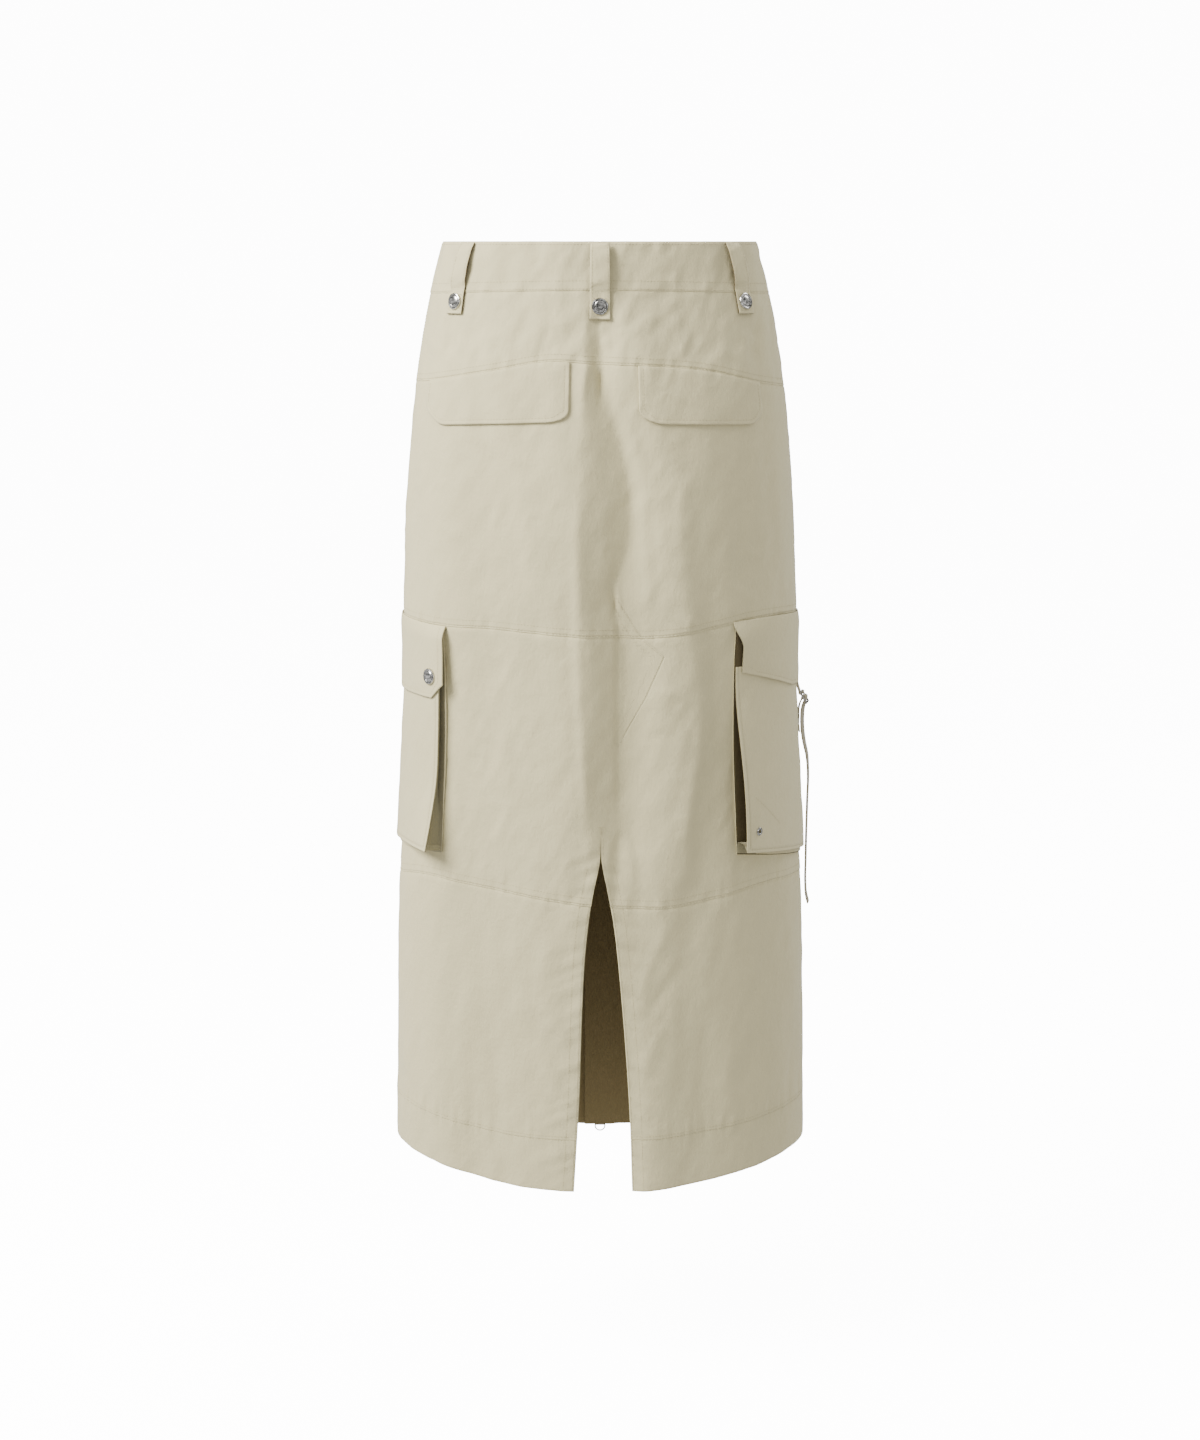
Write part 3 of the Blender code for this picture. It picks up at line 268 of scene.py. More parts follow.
CRUMPLE = [
    # height, how far it leans with the drop, size across and down
    (0.0007, 0.0, 0.030, 0.085), (0.00035, 0.3, 0.011, 0.024), (0.0004, -0.12, 0.014, 0.130),
]
CREASES = [
    # height and width in millimetres, then places along it: angle, drop in millimetres
    (0.9, 5, (-6, 197), (-6.5, 259), (-6.1, 330), (-5.7, 403), (-4.5, 477), (-3.6, 523)),
    (0.7, 6, (5.9, 136), (11.5, 197), (13, 259), (14, 312), (13.5, 349)),
    (-0.6, 2.4, (5.8, 285), (4, 305), (5.1, 350), (5.1, 394), (5.1, 430), (5.2, 465), (5.3, 500), (6.2, 532)),
    (-1.2, 3.5, (-1.8, 107), (-0.3, 117), (0.3, 130), (0, 143)),
    (-1.1, 2, (0.2, 109), (0.1, 120), (0, 136)),
    (-0.8, 2.4, (2.6, 294), (4.2, 316), (4.7, 332)),
    (0.7, 2.2, (4.6, 298), (5.7, 318), (6, 330)),
    (-0.6, 2.2, (6.2, 320), (5.3, 340), (5.9, 352)),
    (0.8, 4, (-3, 104), (-4.2, 112), (-5, 128), (-5.8, 154)),
    (0.6, 7, (-4.5, 55), (-9.5, 66), (-16.4, 78)),
    (-0.5, 7, (-4.1, 66), (-7.8, 78), (-12.3, 95)),
    (0.8, 8, (4.1, 57), (8.8, 70), (13, 89), (15.3, 107)),
    (-0.7, 6, (2.5, 66), (3.7, 81), (4.9, 99)),
    (-0.5, 10, (28.3, 51), (29.5, 77), (30, 105)),
    (0.6, 9, (63.7, 52), (64.5, 78), (63.5, 112)),
    (-0.5, 7, (56.7, 62), (56.6, 87), (57.7, 115)),
    (0.4, 12, (-26.8, 51), (-27.3, 77), (-28.7, 99)),
    (0.5, 6, (12.3, 163), (18.2, 177), (24.8, 198)),
    (-0.5, 7, (10.5, 158), (13.9, 182), (18.5, 215)),
    (0.7, 9, (24.7, 181), (23.5, 242), (24.1, 304), (27.4, 359)),
    (0.9, 7, (27.4, 359), (30.4, 397), (29.5, 447), (26.9, 489), (24.6, 545), (23.6, 597)),
    (0.8, 12, (19.5, 378), (18.4, 404), (14.9, 427)),
    (-0.5, 4, (13.1, 442), (18.5, 437), (24, 445)),
    (0.5, 5, (14.3, 403), (19.6, 398), (25.2, 405)),
    (-0.5, 4, (19.7, 415), (24.6, 425), (28.5, 443)),
    (0.5, 5, (20.4, 327), (25.9, 334), (31.2, 345)),
    (-0.5, 5, (21.7, 342), (27.3, 350), (30.7, 360)),
    (-1.6, 6, (5, 528), (4.7, 552), (4.4, 580), (6, 614)),
    (1, 5, (7, 514), (8, 542), (8.8, 571), (9.3, 595)),
    (-0.7, 8, (-3.3, 542), (-5.5, 576), (-7.1, 604)),
    (0.6, 6, (18.9, 615), (14.3, 648), (10.9, 687)),
    (-0.6, 6, (25.4, 646), (17.7, 678), (10.9, 716)),
    (0.5, 6, (21.1, 698), (15.4, 726), (10.9, 760)),
    (0.6, 9, (21.2, 606), (21.2, 669), (19.9, 737), (18.7, 796)),
    (0.6, 6, (-18.8, 688), (-13.1, 706), (-8.1, 735)),
    (-0.6, 6, (-20, 718), (-13.7, 738), (-8.1, 770)),
    (0.6, 6, (-18.2, 749), (-12.5, 769), (-7.6, 802)),
    (-0.5, 5, (-16.5, 781), (-12, 797), (-8.1, 824)),
    (0.5, 8, (-11, 614), (-15.1, 648), (-18, 688)),
    (0.5, 14, (-27.9, 369), (-29.7, 461), (-27.7, 555)),
    (-0.5, 12, (-40.4, 399), (-41.7, 483), (-39.3, 549)),
    (-0.5, 14, (-37.7, 173), (-40.3, 244), (-42.6, 317)),
    (0.5, 12, (-20.1, 172), (-20.8, 242), (-19.8, 313)),
    (-0.5, 10, (48, 174), (45.1, 245), (42.6, 317)),
    (0.5, 10, (40.3, 695), (38.3, 763), (37.5, 843)),
    (-0.5, 10, (30, 691), (29.6, 760), (28.3, 849)),
    (0.5, 12, (-38.5, 655), (-41.3, 745), (-41.9, 845)),
    (-0.4, 10, (-28.5, 652), (-29.6, 740), (-30.8, 850)),
    # The sides.
    (0.8, 9, (-76, 140), (-80, 215), (-84, 300)),
    (-0.9, 9, (-95, 150), (-92, 230), (-96, 325)),
    (0.7, 8, (98, 150), (94, 220), (99, 310)),
    (-0.8, 9, (82, 165), (85, 240), (79, 320)),
    (0.9, 10, (-84, 585), (-80, 690), (-86, 790)),
    (-0.8, 11, (-100, 600), (-97, 700), (-101, 820)),
    (0.8, 10, (84, 600), (88, 700), (83, 800)),
    (-0.8, 11, (101, 610), (98, 720), (103, 830)),
    # The front.
    (0.9, 8, (172, 70), (163, 100), (152, 118)),
    (-0.8, 8, (-171, 62), (-161, 88), (-150, 112)),
    (1, 9, (168, 140), (158, 200), (154, 300)),
    (-1, 9, (-168, 135), (-157, 210), (-153, 330)),
    (0.9, 12, (-141, 150), (-138, 240), (-142, 330)),
    (-0.9, 12, (139, 160), (136, 250), (141, 335)),
    (0.8, 7, (173, 330), (160, 370), (146, 395)),
    (-0.8, 7, (-172, 350), (-158, 385), (-145, 402)),
    (0.9, 11, (157, 420), (153, 500), (156, 580)),
    (-0.9, 11, (-158, 430), (-154, 500), (-157, 585)),
    (0.8, 12, (-139, 420), (-136, 510), (-138, 580)),
    (0.7, 9, (165, 620), (158, 680), (153, 750)),
    (-0.8, 9, (-166, 615), (-159, 690), (-152, 770)),
    (0.8, 12, (-137, 630), (-134, 730), (-138, 840)),
    (-0.7, 12, (138, 640), (135, 740), (139, 850)),
    (0.7, 8, (175, 760), (166, 800), (158, 850)),
]


def curve(rows, column):
    """A smooth curve through one column of a table whose first column is where each value lies."""
    at = np.array([row[0] for row in rows], float)
    values = np.array([row[column] for row in rows], float)
    slopes = np.gradient(values, at)

    def value(where):
        where = np.clip(where, at[0], at[-1])
        i = np.clip(np.searchsorted(at, where) - 1, 0, len(at) - 2)
        step = at[i + 1] - at[i]
        t = (where - at[i]) / step
        ease = t * t * (3 - 2 * t)
        pull = t * (1 - t) * step * ((1 - t) * slopes[i] - t * slopes[i + 1])
        return values[i] + (values[i + 1] - values[i]) * ease + pull

    return value


def straight(rows):
    """Straight lines through the two columns of a table."""
    at, values = np.array(rows, float).T
    return lambda where: np.interp(where, at, values)


def smooth(t):
    """0 below 0, 1 above 1, and eased between them."""
    t = np.clip(t, 0.0, 1.0)
    return t * t * (3 - 2 * t)


half_width, back_depth, front_depth = (curve(SECTIONS, column) for column in (1, 2, 3))
yoke_seam, knee_seam, lower_seam = (curve(rows, 1) for rows in (YOKE_SEAM, KNEE_SEAM, LOWER_SEAM))
fold_lines = [(side, power, *(curve(rows, k) for k in (1, 2, 3, 4))) for side, power, rows in FOLDS]
vent_left, vent_right = (curve(VENT, column) for column in (1, 2))


def waist_seam(angle):
    return WAIST_SEAM_CENTRE + (WAIST_SEAM_SIDE - WAIST_SEAM_CENTRE) * np.sin(np.radians(angle)) ** 2


def hem(angle):
    middle = np.where(np.abs(angle) < 90, HEM_BACK, HEM_FRONT)
    off = (angle - HEM_SAG_ANGLE) / HEM_SAG_REACH
    sag = HEM_SAG * (1 - smooth(off) - smooth(-off))
    return HEM_SIDE + (middle - HEM_SIDE) * np.cos(np.radians(angle)) ** 2 + sag


def hem_turn(angle):
    """The drop of the hem's stitching."""
    return hem(angle) - HEM_TURN_SIDE - (HEM_TURN_MIDDLE - HEM_TURN_SIDE) * np.cos(np.radians(angle)) ** 2


def relief(angle, drop, across):
    """How far the main folds move the cloth: soft troughs, and one with a steep left side."""
    back = np.abs(angle) <= 90
    total = np.zeros(np.broadcast(angle, drop).shape)
    for side, power, line, depth, left, right in fold_lines:
        off = across - line(drop)
        reach = np.abs(off) / np.where(off < 0, left(drop), right(drop))
        if power == 1.0:
            share = 1 - smooth(reach)
        else:
            up = 1 - np.hypot(reach, STEEP_ROUND)
            share = (up + np.hypot(up, STEEP_SOFT)) / 2
            share = np.where(off < 0, share, (STEEP_START + power * reach) * np.exp(-power * reach))
        total -= np.where(back == (side == "back"), depth(drop) * share, 0.0)
    return total


def form(angle, drop, out=0.0):
    """The points of the skirt's plain form at these angles and drops."""
    angle, drop = np.broadcast_arrays(np.asarray(angle, float), np.asarray(drop, float))
    turn = np.radians(angle)
    width = half_width(drop)
    depth = np.where(np.abs(angle) <= 90, back_depth(drop), front_depth(drop))
    across, along = np.sin(turn), -np.cos(turn)
    level = np.stack([across / width, along / depth], -1)
    level /= np.linalg.norm(level, axis=-1, keepdims=True)
    moved = relief(angle, drop, width * across) + out
    points = np.stack([width * across, depth * along, WAIST_TOP - drop], -1)
    points[..., :2] += level * moved[..., None]
    return points


# The length along the section, for a skirt whose half width is 1.
_turns = np.linspace(-180, 180, 721)
_rates = np.hypot(np.cos(np.radians(_turns)), FLATNESS * np.sin(np.radians(_turns)))
_arcs = np.cumsum(_rates) * math.radians(0.5)
_arcs -= np.interp(0.0, _turns, _arcs)


def along_cloth(angle, drop):
    """The distance round the skirt from the centre back."""
    return half_width(drop) * np.interp(angle, _turns, _arcs)


def angle_of(across, drop):
    """The back angle at this distance across the skirt."""
    return np.degrees(np.arcsin(across / half_width(drop)))


class Dents:
    """Smooth random dents: a height at each corner of a net, eased between its corners."""

    SIZE = 128

    def __init__(self, seed):
        self.heights = np.random.default_rng(seed).uniform(-1, 1, (self.SIZE, self.SIZE))

    def at(self, across, down, cell_across, cell_down):
        x, y = across / cell_across + 500, down / cell_down + 500
        i, j = np.floor(x).astype(int), np.floor(y).astype(int)
        s, t = smooth(x - i), smooth(y - j)
        corner = [
            [self.heights[(i + a) % self.SIZE, (j + b) % self.SIZE] for b in (0, 1)] for a in (0, 1)
        ]
        upper = corner[0][0] + (corner[1][0] - corner[0][0]) * s
        lower = corner[0][1] + (corner[1][1] - corner[0][1]) * s
        return upper + (lower - upper) * t


class Creasing:
    """The cloth's own relief: listed creases, crumple, and puckers along the seams."""

    def __init__(self, settings):
        self.crease, self.crumple, self.pucker = settings.creases, settings.crumple, settings.pucker
        self.dents = [Dents(seed) for seed in range(11, 17)]
        self.lines = []
        for height, width, *places in CREASES:
            steps = np.linspace(0, len(places) - 1, 6 * len(places))
            rows = [(k, angle, drop / 1000) for k, (angle, drop) in enumerate(places)]
            angles, drops = curve(rows, 1)(steps), curve(rows, 2)(steps)
            line = np.stack([along_cloth(angles, drops), drops], 1)
            self.lines.append((height / 1000, width / 1000, line))

    def laid(self, across, drop):
        total = np.zeros(across.shape)
        for height, width, line in self.lines:
            low, high = line.min(0) - 3 * width, line.max(0) + 3 * width
            near = (across > low[0]) & (across < high[0]) & (drop > low[1]) & (drop < high[1])
            if not near.any():
                continue
            point = np.stack([across[near], drop[near]], 1)
            best = np.full(len(point), np.inf)
            share = np.zeros(len(point))
            for k, (start, end) in enumerate(zip(line, line[1:])):
                span = end - start
                t = np.clip(((point - start) @ span) / (span @ span), 0, 1)
                gap = np.linalg.norm(point - start - t[:, None] * span, axis=1)
                closer = gap < best
                best = np.where(closer, gap, best)
                share = np.where(closer, (k + t) / (len(line) - 1), share)
            fade = np.sin(np.pi * share) ** 0.7
            total[near] += height * fade * np.exp(-((best / width) ** 2))
        return total

    def crumpled(self, across, drop):
        total = np.zeros(across.shape)
        for dents, (height, lean, wide, tall) in zip(self.dents, CRUMPLE):
            total += height * dents.at(across + lean * drop, drop, wide, tall)
        folded = np.abs(self.dents[3].at(across + 0.5 * drop, drop - 0.4 * across, 0.016, 0.019))
        return total + 0.0006 * (0.35 - folded) * (1 - 0.6 * smooth((drop - 0.56) / 0.05))

    def puckered(self, angle, across, drop):
        """Short ripples square to each stitched line."""
        ripple, second = self.dents[4:6]
        total = np.zeros(across.shape)
        lines = [
            # line, reach, height
            (waist_seam(angle) - 0.004, 0.007, 0.00035),
            (yoke_seam(angle) - 0.002, 0.007, 0.00040),
            (knee_seam(angle) - 0.002, 0.008, 0.00045),
            (lower_seam(angle) - 0.003, 0.009, 0.00050),
            (hem_turn(angle), 0.012, 0.00060),
            (hem(angle), 0.007, 0.00010),
        ]
        for k, (line, reach, height) in enumerate(lines):
            off = drop - line
            ripples = ripple.at(across, 3.1 * k + off * 20, 0.0042, 1.0)
            ripples += 0.6 * second.at(across + 0.4 * off, 5.7 * k, 0.0095, 1.0)
            total += height * ripples * np.exp(-((off / reach) ** 2))
        for edge in (vent_left(drop), vent_right(drop)):
            off = across - edge
            ripples = second.at(drop - 0.35 * np.abs(off), 9.3 + off * 15, 0.0085, 1.0)
            ripples += 0.7 * ripple.at(drop - 0.5 * np.abs(off), 4.1 + off * 25, 0.0046, 1.0)
            fade = np.exp(-((off / 0.026) ** 2)) * smooth((drop - SLIT_TOP + 0.01) / 0.05)
            total += 0.00075 * ripples * np.where(np.abs(angle) < 60, fade, 0.0)
        return total

    def at(self, angle, drop):
        angle, drop = np.broadcast_arrays(np.asarray(angle, float), np.asarray(drop, float))
        across = along_cloth(angle, drop)
        total = self.crease * self.laid(across, drop)
        yoke = 1 - smooth((drop - 0.095) / 0.03)
        total += self.crumple * self.crumpled(across, drop) * (1 + 0.4 * yoke)
        fine = self.dents[5].at(across + 0.4 * drop, drop - 0.3 * across, 0.008, 0.012)
        total += self.crumple * 0.0005 * yoke * fine
        total += self.pucker * self.puckered(angle, across, drop)
        return total


def skirt(angle, drop, out=0.0):
    """The points of the creased cloth's outer face."""
    return form(angle, drop, out + Skirt.creasing.at(angle, drop))


def per_degree(angle, drop):
    """The length of cloth that one degree takes up here."""
    return along_cloth(angle + 0.5, drop) - along_cloth(angle - 0.5, drop)


def laid_flat(angle, drop):
    """Where these places lie on the cloth, in metres."""
    return np.stack([along_cloth(angle, drop), -drop], 1)


def from_dart(angle, drop):
    """The distance from the dart's lines, in millimetres, with a sign that tells the side."""
    across = along_cloth(angle, drop)
    best = np.full(across.shape, FAR_FROM_DART)
    for a, b in zip(DART, DART[1:]):
        start = np.array([along_cloth(a[0], a[1]), a[1]])
        span = np.array([along_cloth(b[0], b[1]), b[1]]) - start
        length = np.hypot(*span)
        x, y = across - start[0], drop - start[1]
        share = (x * span[0] + y * span[1]) / length**2
        off = 1000 * (x * span[1] - y * span[0]) / length
        beyond = 1000 * length * np.maximum(np.maximum(-share, share - 1), 0)
        gap = np.copysign(np.hypot(off, beyond), off)
        best = np.where(np.abs(gap) < np.abs(best), gap, best)
    return best * DART_MARK


class Skirt:
    """What the operators share: the relief of the cloth, set from the panel's values."""

    creasing = None


# Meshes.


def add(kind, name="part", **settings):
    """Adds one of Blender's primitives, alone in the selection."""
    bpy.ops.object.select_all(action="DESELECT")
    getattr(bpy.ops.mesh, f"primitive_{kind}_add")(**settings)
    bpy.context.object.name = name
    return bpy.context.object


def add_copy(obj, name="part"):
    copy = obj.copy()
    copy.data = obj.data.copy()
    copy.name = name
    bpy.context.scene.collection.objects.link(copy)
    return copy


def only(obj):
    """Selects this object alone and makes it the active one."""
    bpy.ops.object.select_all(action="DESELECT")
    obj.select_set(True)
    bpy.context.view_layer.objects.active = obj


def points_of(obj):
    flat = np.empty(len(obj.data.vertices) * 3, np.float32)
    obj.data.vertices.foreach_get("co", flat)
    return flat.reshape(-1, 3).astype(float)


def put(obj, points):
    obj.data.vertices.foreach_set("co", np.asarray(points, np.float32).ravel())
    obj.data.update()


def modify(obj, kind, **settings):
    """Adds a modifier with these settings and applies it."""
    only(obj)
    modifier = obj.modifiers.new(kind, kind)
    for key, value in settings.items():
        setattr(modifier, key, value)
    bpy.ops.object.modifier_apply(modifier=modifier.name)


def cut(obj, cutter):
    """Takes the cutter's form out of the object."""
    modify(obj, "BOOLEAN", operation="DIFFERENCE", object=cutter, solver="EXACT")
    bpy.data.objects.remove(cutter)


def settle(obj, where=None):
    """Puts the object's place into its mesh."""
    if where is not None:
        obj.matrix_world = where @ obj.matrix_world
    only(obj)
    bpy.ops.object.transform_apply(location=True, rotation=True, scale=True)


def shade(obj, degrees):
    only(obj)
    bpy.ops.object.shade_smooth_by_angle(angle=math.radians(degrees))


def merge(parts, name, distance=0.0):
    """Joins the parts into one object, and merges its doubles when a distance is given."""
    only(parts[0])
    for part in parts[1:]:
        part.select_set(True)
    if len(parts) > 1:
        bpy.ops.object.join()
    joined = bpy.context.view_layer.objects.active
    joined.name = name
    if distance:
        in_edit(joined, lambda: bpy.ops.mesh.remove_doubles(threshold=distance))
    return joined


def in_edit(obj, *steps):
    """Runs the steps in edit mode on the whole mesh."""
    only(obj)
    bpy.ops.object.mode_set(mode="EDIT")
    bpy.ops.mesh.select_all(action="SELECT")
    for step in steps:
        step()
    bpy.ops.object.mode_set(mode="OBJECT")


def pick_faces(obj, chosen):
    """Selects, in face mode, the faces for which chosen(centre, normal) is true, and enters edit mode."""
    only(obj)
    bpy.ops.object.mode_set(mode="EDIT")
    bpy.ops.mesh.select_mode(type="FACE")
    bpy.ops.mesh.select_all(action="DESELECT")
    bpy.ops.object.mode_set(mode="OBJECT")
    for face in obj.data.polygons:
        face.select = bool(chosen(face.center, face.normal))
    bpy.ops.object.mode_set(mode="EDIT")


def leave_edit():
    bpy.ops.object.mode_set(mode="OBJECT")


def set_uv(obj, uv):
    """Gives the mesh a UV map in metres of cloth, one pair for each of its points."""
    corner = np.empty(len(obj.data.loops), np.int32)
    obj.data.loops.foreach_get("vertex_index", corner)
    layer = obj.data.uv_layers.active or obj.data.uv_layers.new(name="Cloth")
    layer.name = "Cloth"
    layer.data.foreach_set("uv", np.asarray(uv, np.float32)[corner].ravel())


def set_marks(obj, edge, above, inside, aside):
    """Keeps what the cloth's material reads at each point: the wear of its edges, and millimetres from
    the seam below, from the free edge and from a line of its own, along which it paints lines of shade."""
    count = len(obj.data.vertices)
    mark = obj.data.attributes.new("edge", "FLOAT", "POINT")
    mark.data.foreach_set("value", np.broadcast_to(edge, count).astype(np.float32))
    mark = obj.data.attributes.new("rows", "FLOAT_VECTOR", "POINT")
    rows = np.stack([np.broadcast_to(row, count) for row in (above, inside, aside)], 1)
    mark.data.foreach_set("vector", rows.astype(np.float32).ravel())


def flat_size(points, u, v):
    """The width, length and area of a grid of cloth, laid flat."""
    order = np.lexsort((u, v))
    rows = len(np.unique(np.round(v, 5)))
    net = points[order].reshape(rows, -1, 3)
    width = np.linalg.norm(np.diff(net, axis=1), axis=2).sum(1).max()
    length = np.linalg.norm(np.diff(net, axis=0), axis=2).sum(0).max()
    one, two = net[1:, 1:] - net[:-1, :-1], net[1:, :-1] - net[:-1, 1:]
    return width, length, np.linalg.norm(np.cross(one, two), axis=2).sum() / 2


def grid(name, columns, rows, shape):
    """A sheet: a flat grid whose points go where shape(u, v) puts them, with its cloth's UV and edges.

    u runs left to right and v runs down, from 0 to 1, as seen from outside the skirt.
    """
    sheet = add("grid", name, x_subdivisions=columns, y_subdivisions=rows, size=1)
    flat = points_of(sheet)
    u, v = flat[:, 0] + 0.5, 0.5 - flat[:, 1]
    points, uv, edge, *marks = shape(u, v)
    put(sheet, points)
    set_uv(sheet, uv)
    set_marks(sheet, edge, *(marks or (FAR, FAR, FAR_FROM_DART)))
    return sheet, flat_size(points, u, v)


def as_cloth(sheet, sizes, nodes, slot="cotton_twill", thickness=CLOTH, held="hung", rests_on=WAISTBAND,
             round_edge=0.0, centred=False, colours=("cotton_twill", "cotton_twill_inside"), rim=0):
    sheet.name = nodes[0] + "_cloth"
    sheet.data.materials.clear()
    for colour in colours:
        sheet.data.materials.append(MATERIALS[colour])
    modify(sheet, "SOLIDIFY", thickness=thickness, offset=0.0 if centred else -1.0, use_rim=True,
           material_offset=1, material_offset_rim=rim)
    if round_edge:
        modify(sheet, "BEVEL", width=round_edge, segments=2, limit_method="ANGLE",
               angle_limit=math.radians(55))
    shade(sheet, 50.0)
    width, length, area = sizes
    min(area, width * length)
    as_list(rests_on)
    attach(sheet, "skirt")
    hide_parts(*nodes)
    return sheet


def cloth_piece(name, columns, rows, shape, **finish):
    """A finished sheet that stands for the solid of its name."""
    sheet, sizes = grid(name, columns, rows, shape)
    return as_cloth(sheet, sizes, [name], **finish)


def as_hard(piece, material, body, nodes=(), degrees=35.0):
    """Finishes a hard piece: its material, its body and the solids that it stands for."""
    piece.data.materials.clear()
    piece.data.materials.append(MATERIALS[material])
    shade(piece, degrees)
    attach(piece, body)
    if nodes:
        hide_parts(*nodes)
    return piece


def seat(surface, angle, drop, lift=0.0):
    """A frame on a surface: Z is its outward normal and Y points up the skirt."""
    def spot(a, d):
        return Vector([float(x) for x in surface(np.array([a]), np.array([d]))[0]])

    across = spot(angle + 0.8, drop) - spot(angle - 0.8, drop)
    up = spot(angle, drop - 0.003) - spot(angle, drop + 0.003)
    normal = across.cross(up).normalized()
    up = (up - normal * up.dot(normal)).normalized()
    turned = Matrix((up.cross(normal), up, normal)).transposed().to_4x4()
    return Matrix.Translation(spot(angle, drop) + normal * lift) @ turned


# Materials.

MATERIALS = {}


class Wire:
    """A socket of a shader, on which arithmetic adds Math nodes."""

    def __init__(self, recipe, socket):
        self.recipe, self.socket = recipe, socket

    def math(self, operation, *values):
        return self.recipe.node("ShaderNodeMath", {"operation": operation}, dict(enumerate(values)))

    def line(self):
        """1 where the value is 0, and nothing a millimetre from there."""
        return self.math("EXPONENT", self * self * -5.0)

    def __add__(self, other):
        return self.math("ADD", self, other)

    def __sub__(self, other):
        return self.math("SUBTRACT", self, other)

    def __mul__(self, other):
        return self.math("MULTIPLY", self, other)


class Recipe:
    """A material made of a Principled shader and the nodes that feed it."""

    def __init__(self, name, **constants):
        self.material = bpy.data.materials.new(name)
        self.material.use_nodes = True
        self.tree = self.material.node_tree
        self.shader = self.tree.nodes["Principled BSDF"]
        for key, value in constants.items():
            self.shader.inputs[key.replace("_", " ").title().replace("Ior", "IOR")].default_value = value
        MATERIALS[name] = self.material

    def node(self, kind, settings=None, sockets=None, out=0):
        """Adds a node with its settings and the values or links of its sockets."""
        node = self.tree.nodes.new(kind)
        for key, value in (settings or {}).items():
            if key == "stops":
                ramp = node.color_ramp
                for place, shade_of in zip((0, 1), value):
                    ramp.elements[place].position = shade_of[0]
                    ramp.elements[place].color = (*[shade_of[1]] * 3, 1)
            else:
                setattr(node, key, value)
        for key, value in (sockets or {}).items():
            self.feed(node.inputs[key], value)
        return Wire(self, node.outputs[out])

    def feed(self, socket, value):
        if isinstance(value, Wire):
            self.tree.links.new(value.socket, socket)
        else:
            socket.default_value = value

    def set(self, name, value):
        self.feed(self.shader.inputs[name], value)

    def uv(self):
        return self.node("ShaderNodeUVMap", {"uv_map": "Cloth"})

    def place(self):
        return self.node("ShaderNodeTexCoord", out=3)

    def stretched(self, vector, across, down, turn=0.0):
        sockets = {"Vector": vector, "Scale": (across, down, 1.0), "Rotation": (0, 0, turn)}
        return self.node("ShaderNodeMapping", None, sockets)

    def noise(self, vector, scale, detail=2.0, roughness=0.5):
        sockets = {"Vector": vector, "Scale": scale, "Detail": detail, "Roughness": roughness}
        return self.node("ShaderNodeTexNoise", None, sockets)

    def mixed(self, factor, one, two):
        sockets = {"Factor": factor, 6: one, 7: two}
        return self.node("ShaderNodeMix", {"data_type": "RGBA"}, sockets, out=2)

    def bump(self, height, distance, strength, below=None):
        sockets = {"Height": height, "Distance": distance, "Strength": strength}
        if below is not None:
            sockets["Normal"] = below
        return self.node("ShaderNodeBump", None, sockets)


def tinted(colour, factor):
    return (*[min(channel * factor, 1.0) for channel in colour[:3]], 1.0)


def make_cloth_material(name, colour, thread_pitch=0.00046, ribs=0.0, crinkle=1.0, sheen=0.25,
                        seams=(), edges=()):
    """Woven cloth: plain weave with slubs, a dry crinkle, worn, paler folds along its edges, and painted shade
    in thin dark lines along its seams, free edges and dart.
    """
    recipe = Recipe(name, roughness=0.78, sheen_weight=sheen, sheen_roughness=0.45, specular_ior_level=0.28)
    uv = recipe.uv()
    mottle = recipe.noise(uv, 34.0, 3.0, 0.6)
    slubs = recipe.noise(recipe.stretched(uv, 900.0, 38.0), 1.0, 2.0)
    picks = recipe.noise(recipe.stretched(uv, 38.0, 900.0), 1.0, 2.0)
    crumbs = recipe.noise(recipe.stretched(uv, 240.0, 150.0, 0.35), 1.0, 4.0, 0.62)
    blend = mottle * 0.45 + slubs * 0.2 + picks * 0.2 + crumbs * 0.25
    body = recipe.mixed(blend, tinted(colour, 0.93), tinted(colour, 1.07))
    edge = recipe.node("ShaderNodeAttribute", {"attribute_name": "edge"}, out=2)
    worn = recipe.mixed(edge * (crumbs * 0.9 + 0.1), body, tinted(colour, 1.05))
    rows = recipe.node("ShaderNodeAttribute", {"attribute_name": "rows"}, out=1)
    rows = [recipe.node("ShaderNodeSeparateXYZ", None, {"Vector": rows}, out=k) for k in range(3)]
    above, inside, aside = rows
    groove = aside.line()
    for line, places in ((above, seams), (inside, edges)):
        for place in places:
            groove = groove + (line - place).line()
    # The groove lines sink the bump and also darken the colour: painted shade along seams, free edges and the
    # dart.
    recipe.set("Base Color", recipe.mixed(groove * 0.2, worn, tinted(colour, 0.62)))
    recipe.set("Roughness", crumbs * 0.16 + 0.70)
    turn = 2 * math.pi / thread_pitch / 20
    sockets = {"Vector": uv, "Scale": turn, "Distortion": 0.15}
    warp = recipe.node("ShaderNodeTexWave", {"bands_direction": "X"}, sockets)
    weft = recipe.node("ShaderNodeTexWave", {"bands_direction": "Y"}, sockets)
    weave = recipe.bump(warp + weft, 0.00006, 0.55)
    crinkled = recipe.bump(crumbs - groove * (0.5 / crinkle), 0.0008 * crinkle, 0.7, weave)
    if ribs:
        sockets = {"Vector": uv, "Scale": 2 * math.pi / ribs / 20}
        rib = recipe.node("ShaderNodeTexWave", {"bands_direction": "Y"}, sockets)
        crinkled = recipe.bump(rib, 0.0003, 0.8, crinkled)
    recipe.set("Normal", crinkled)


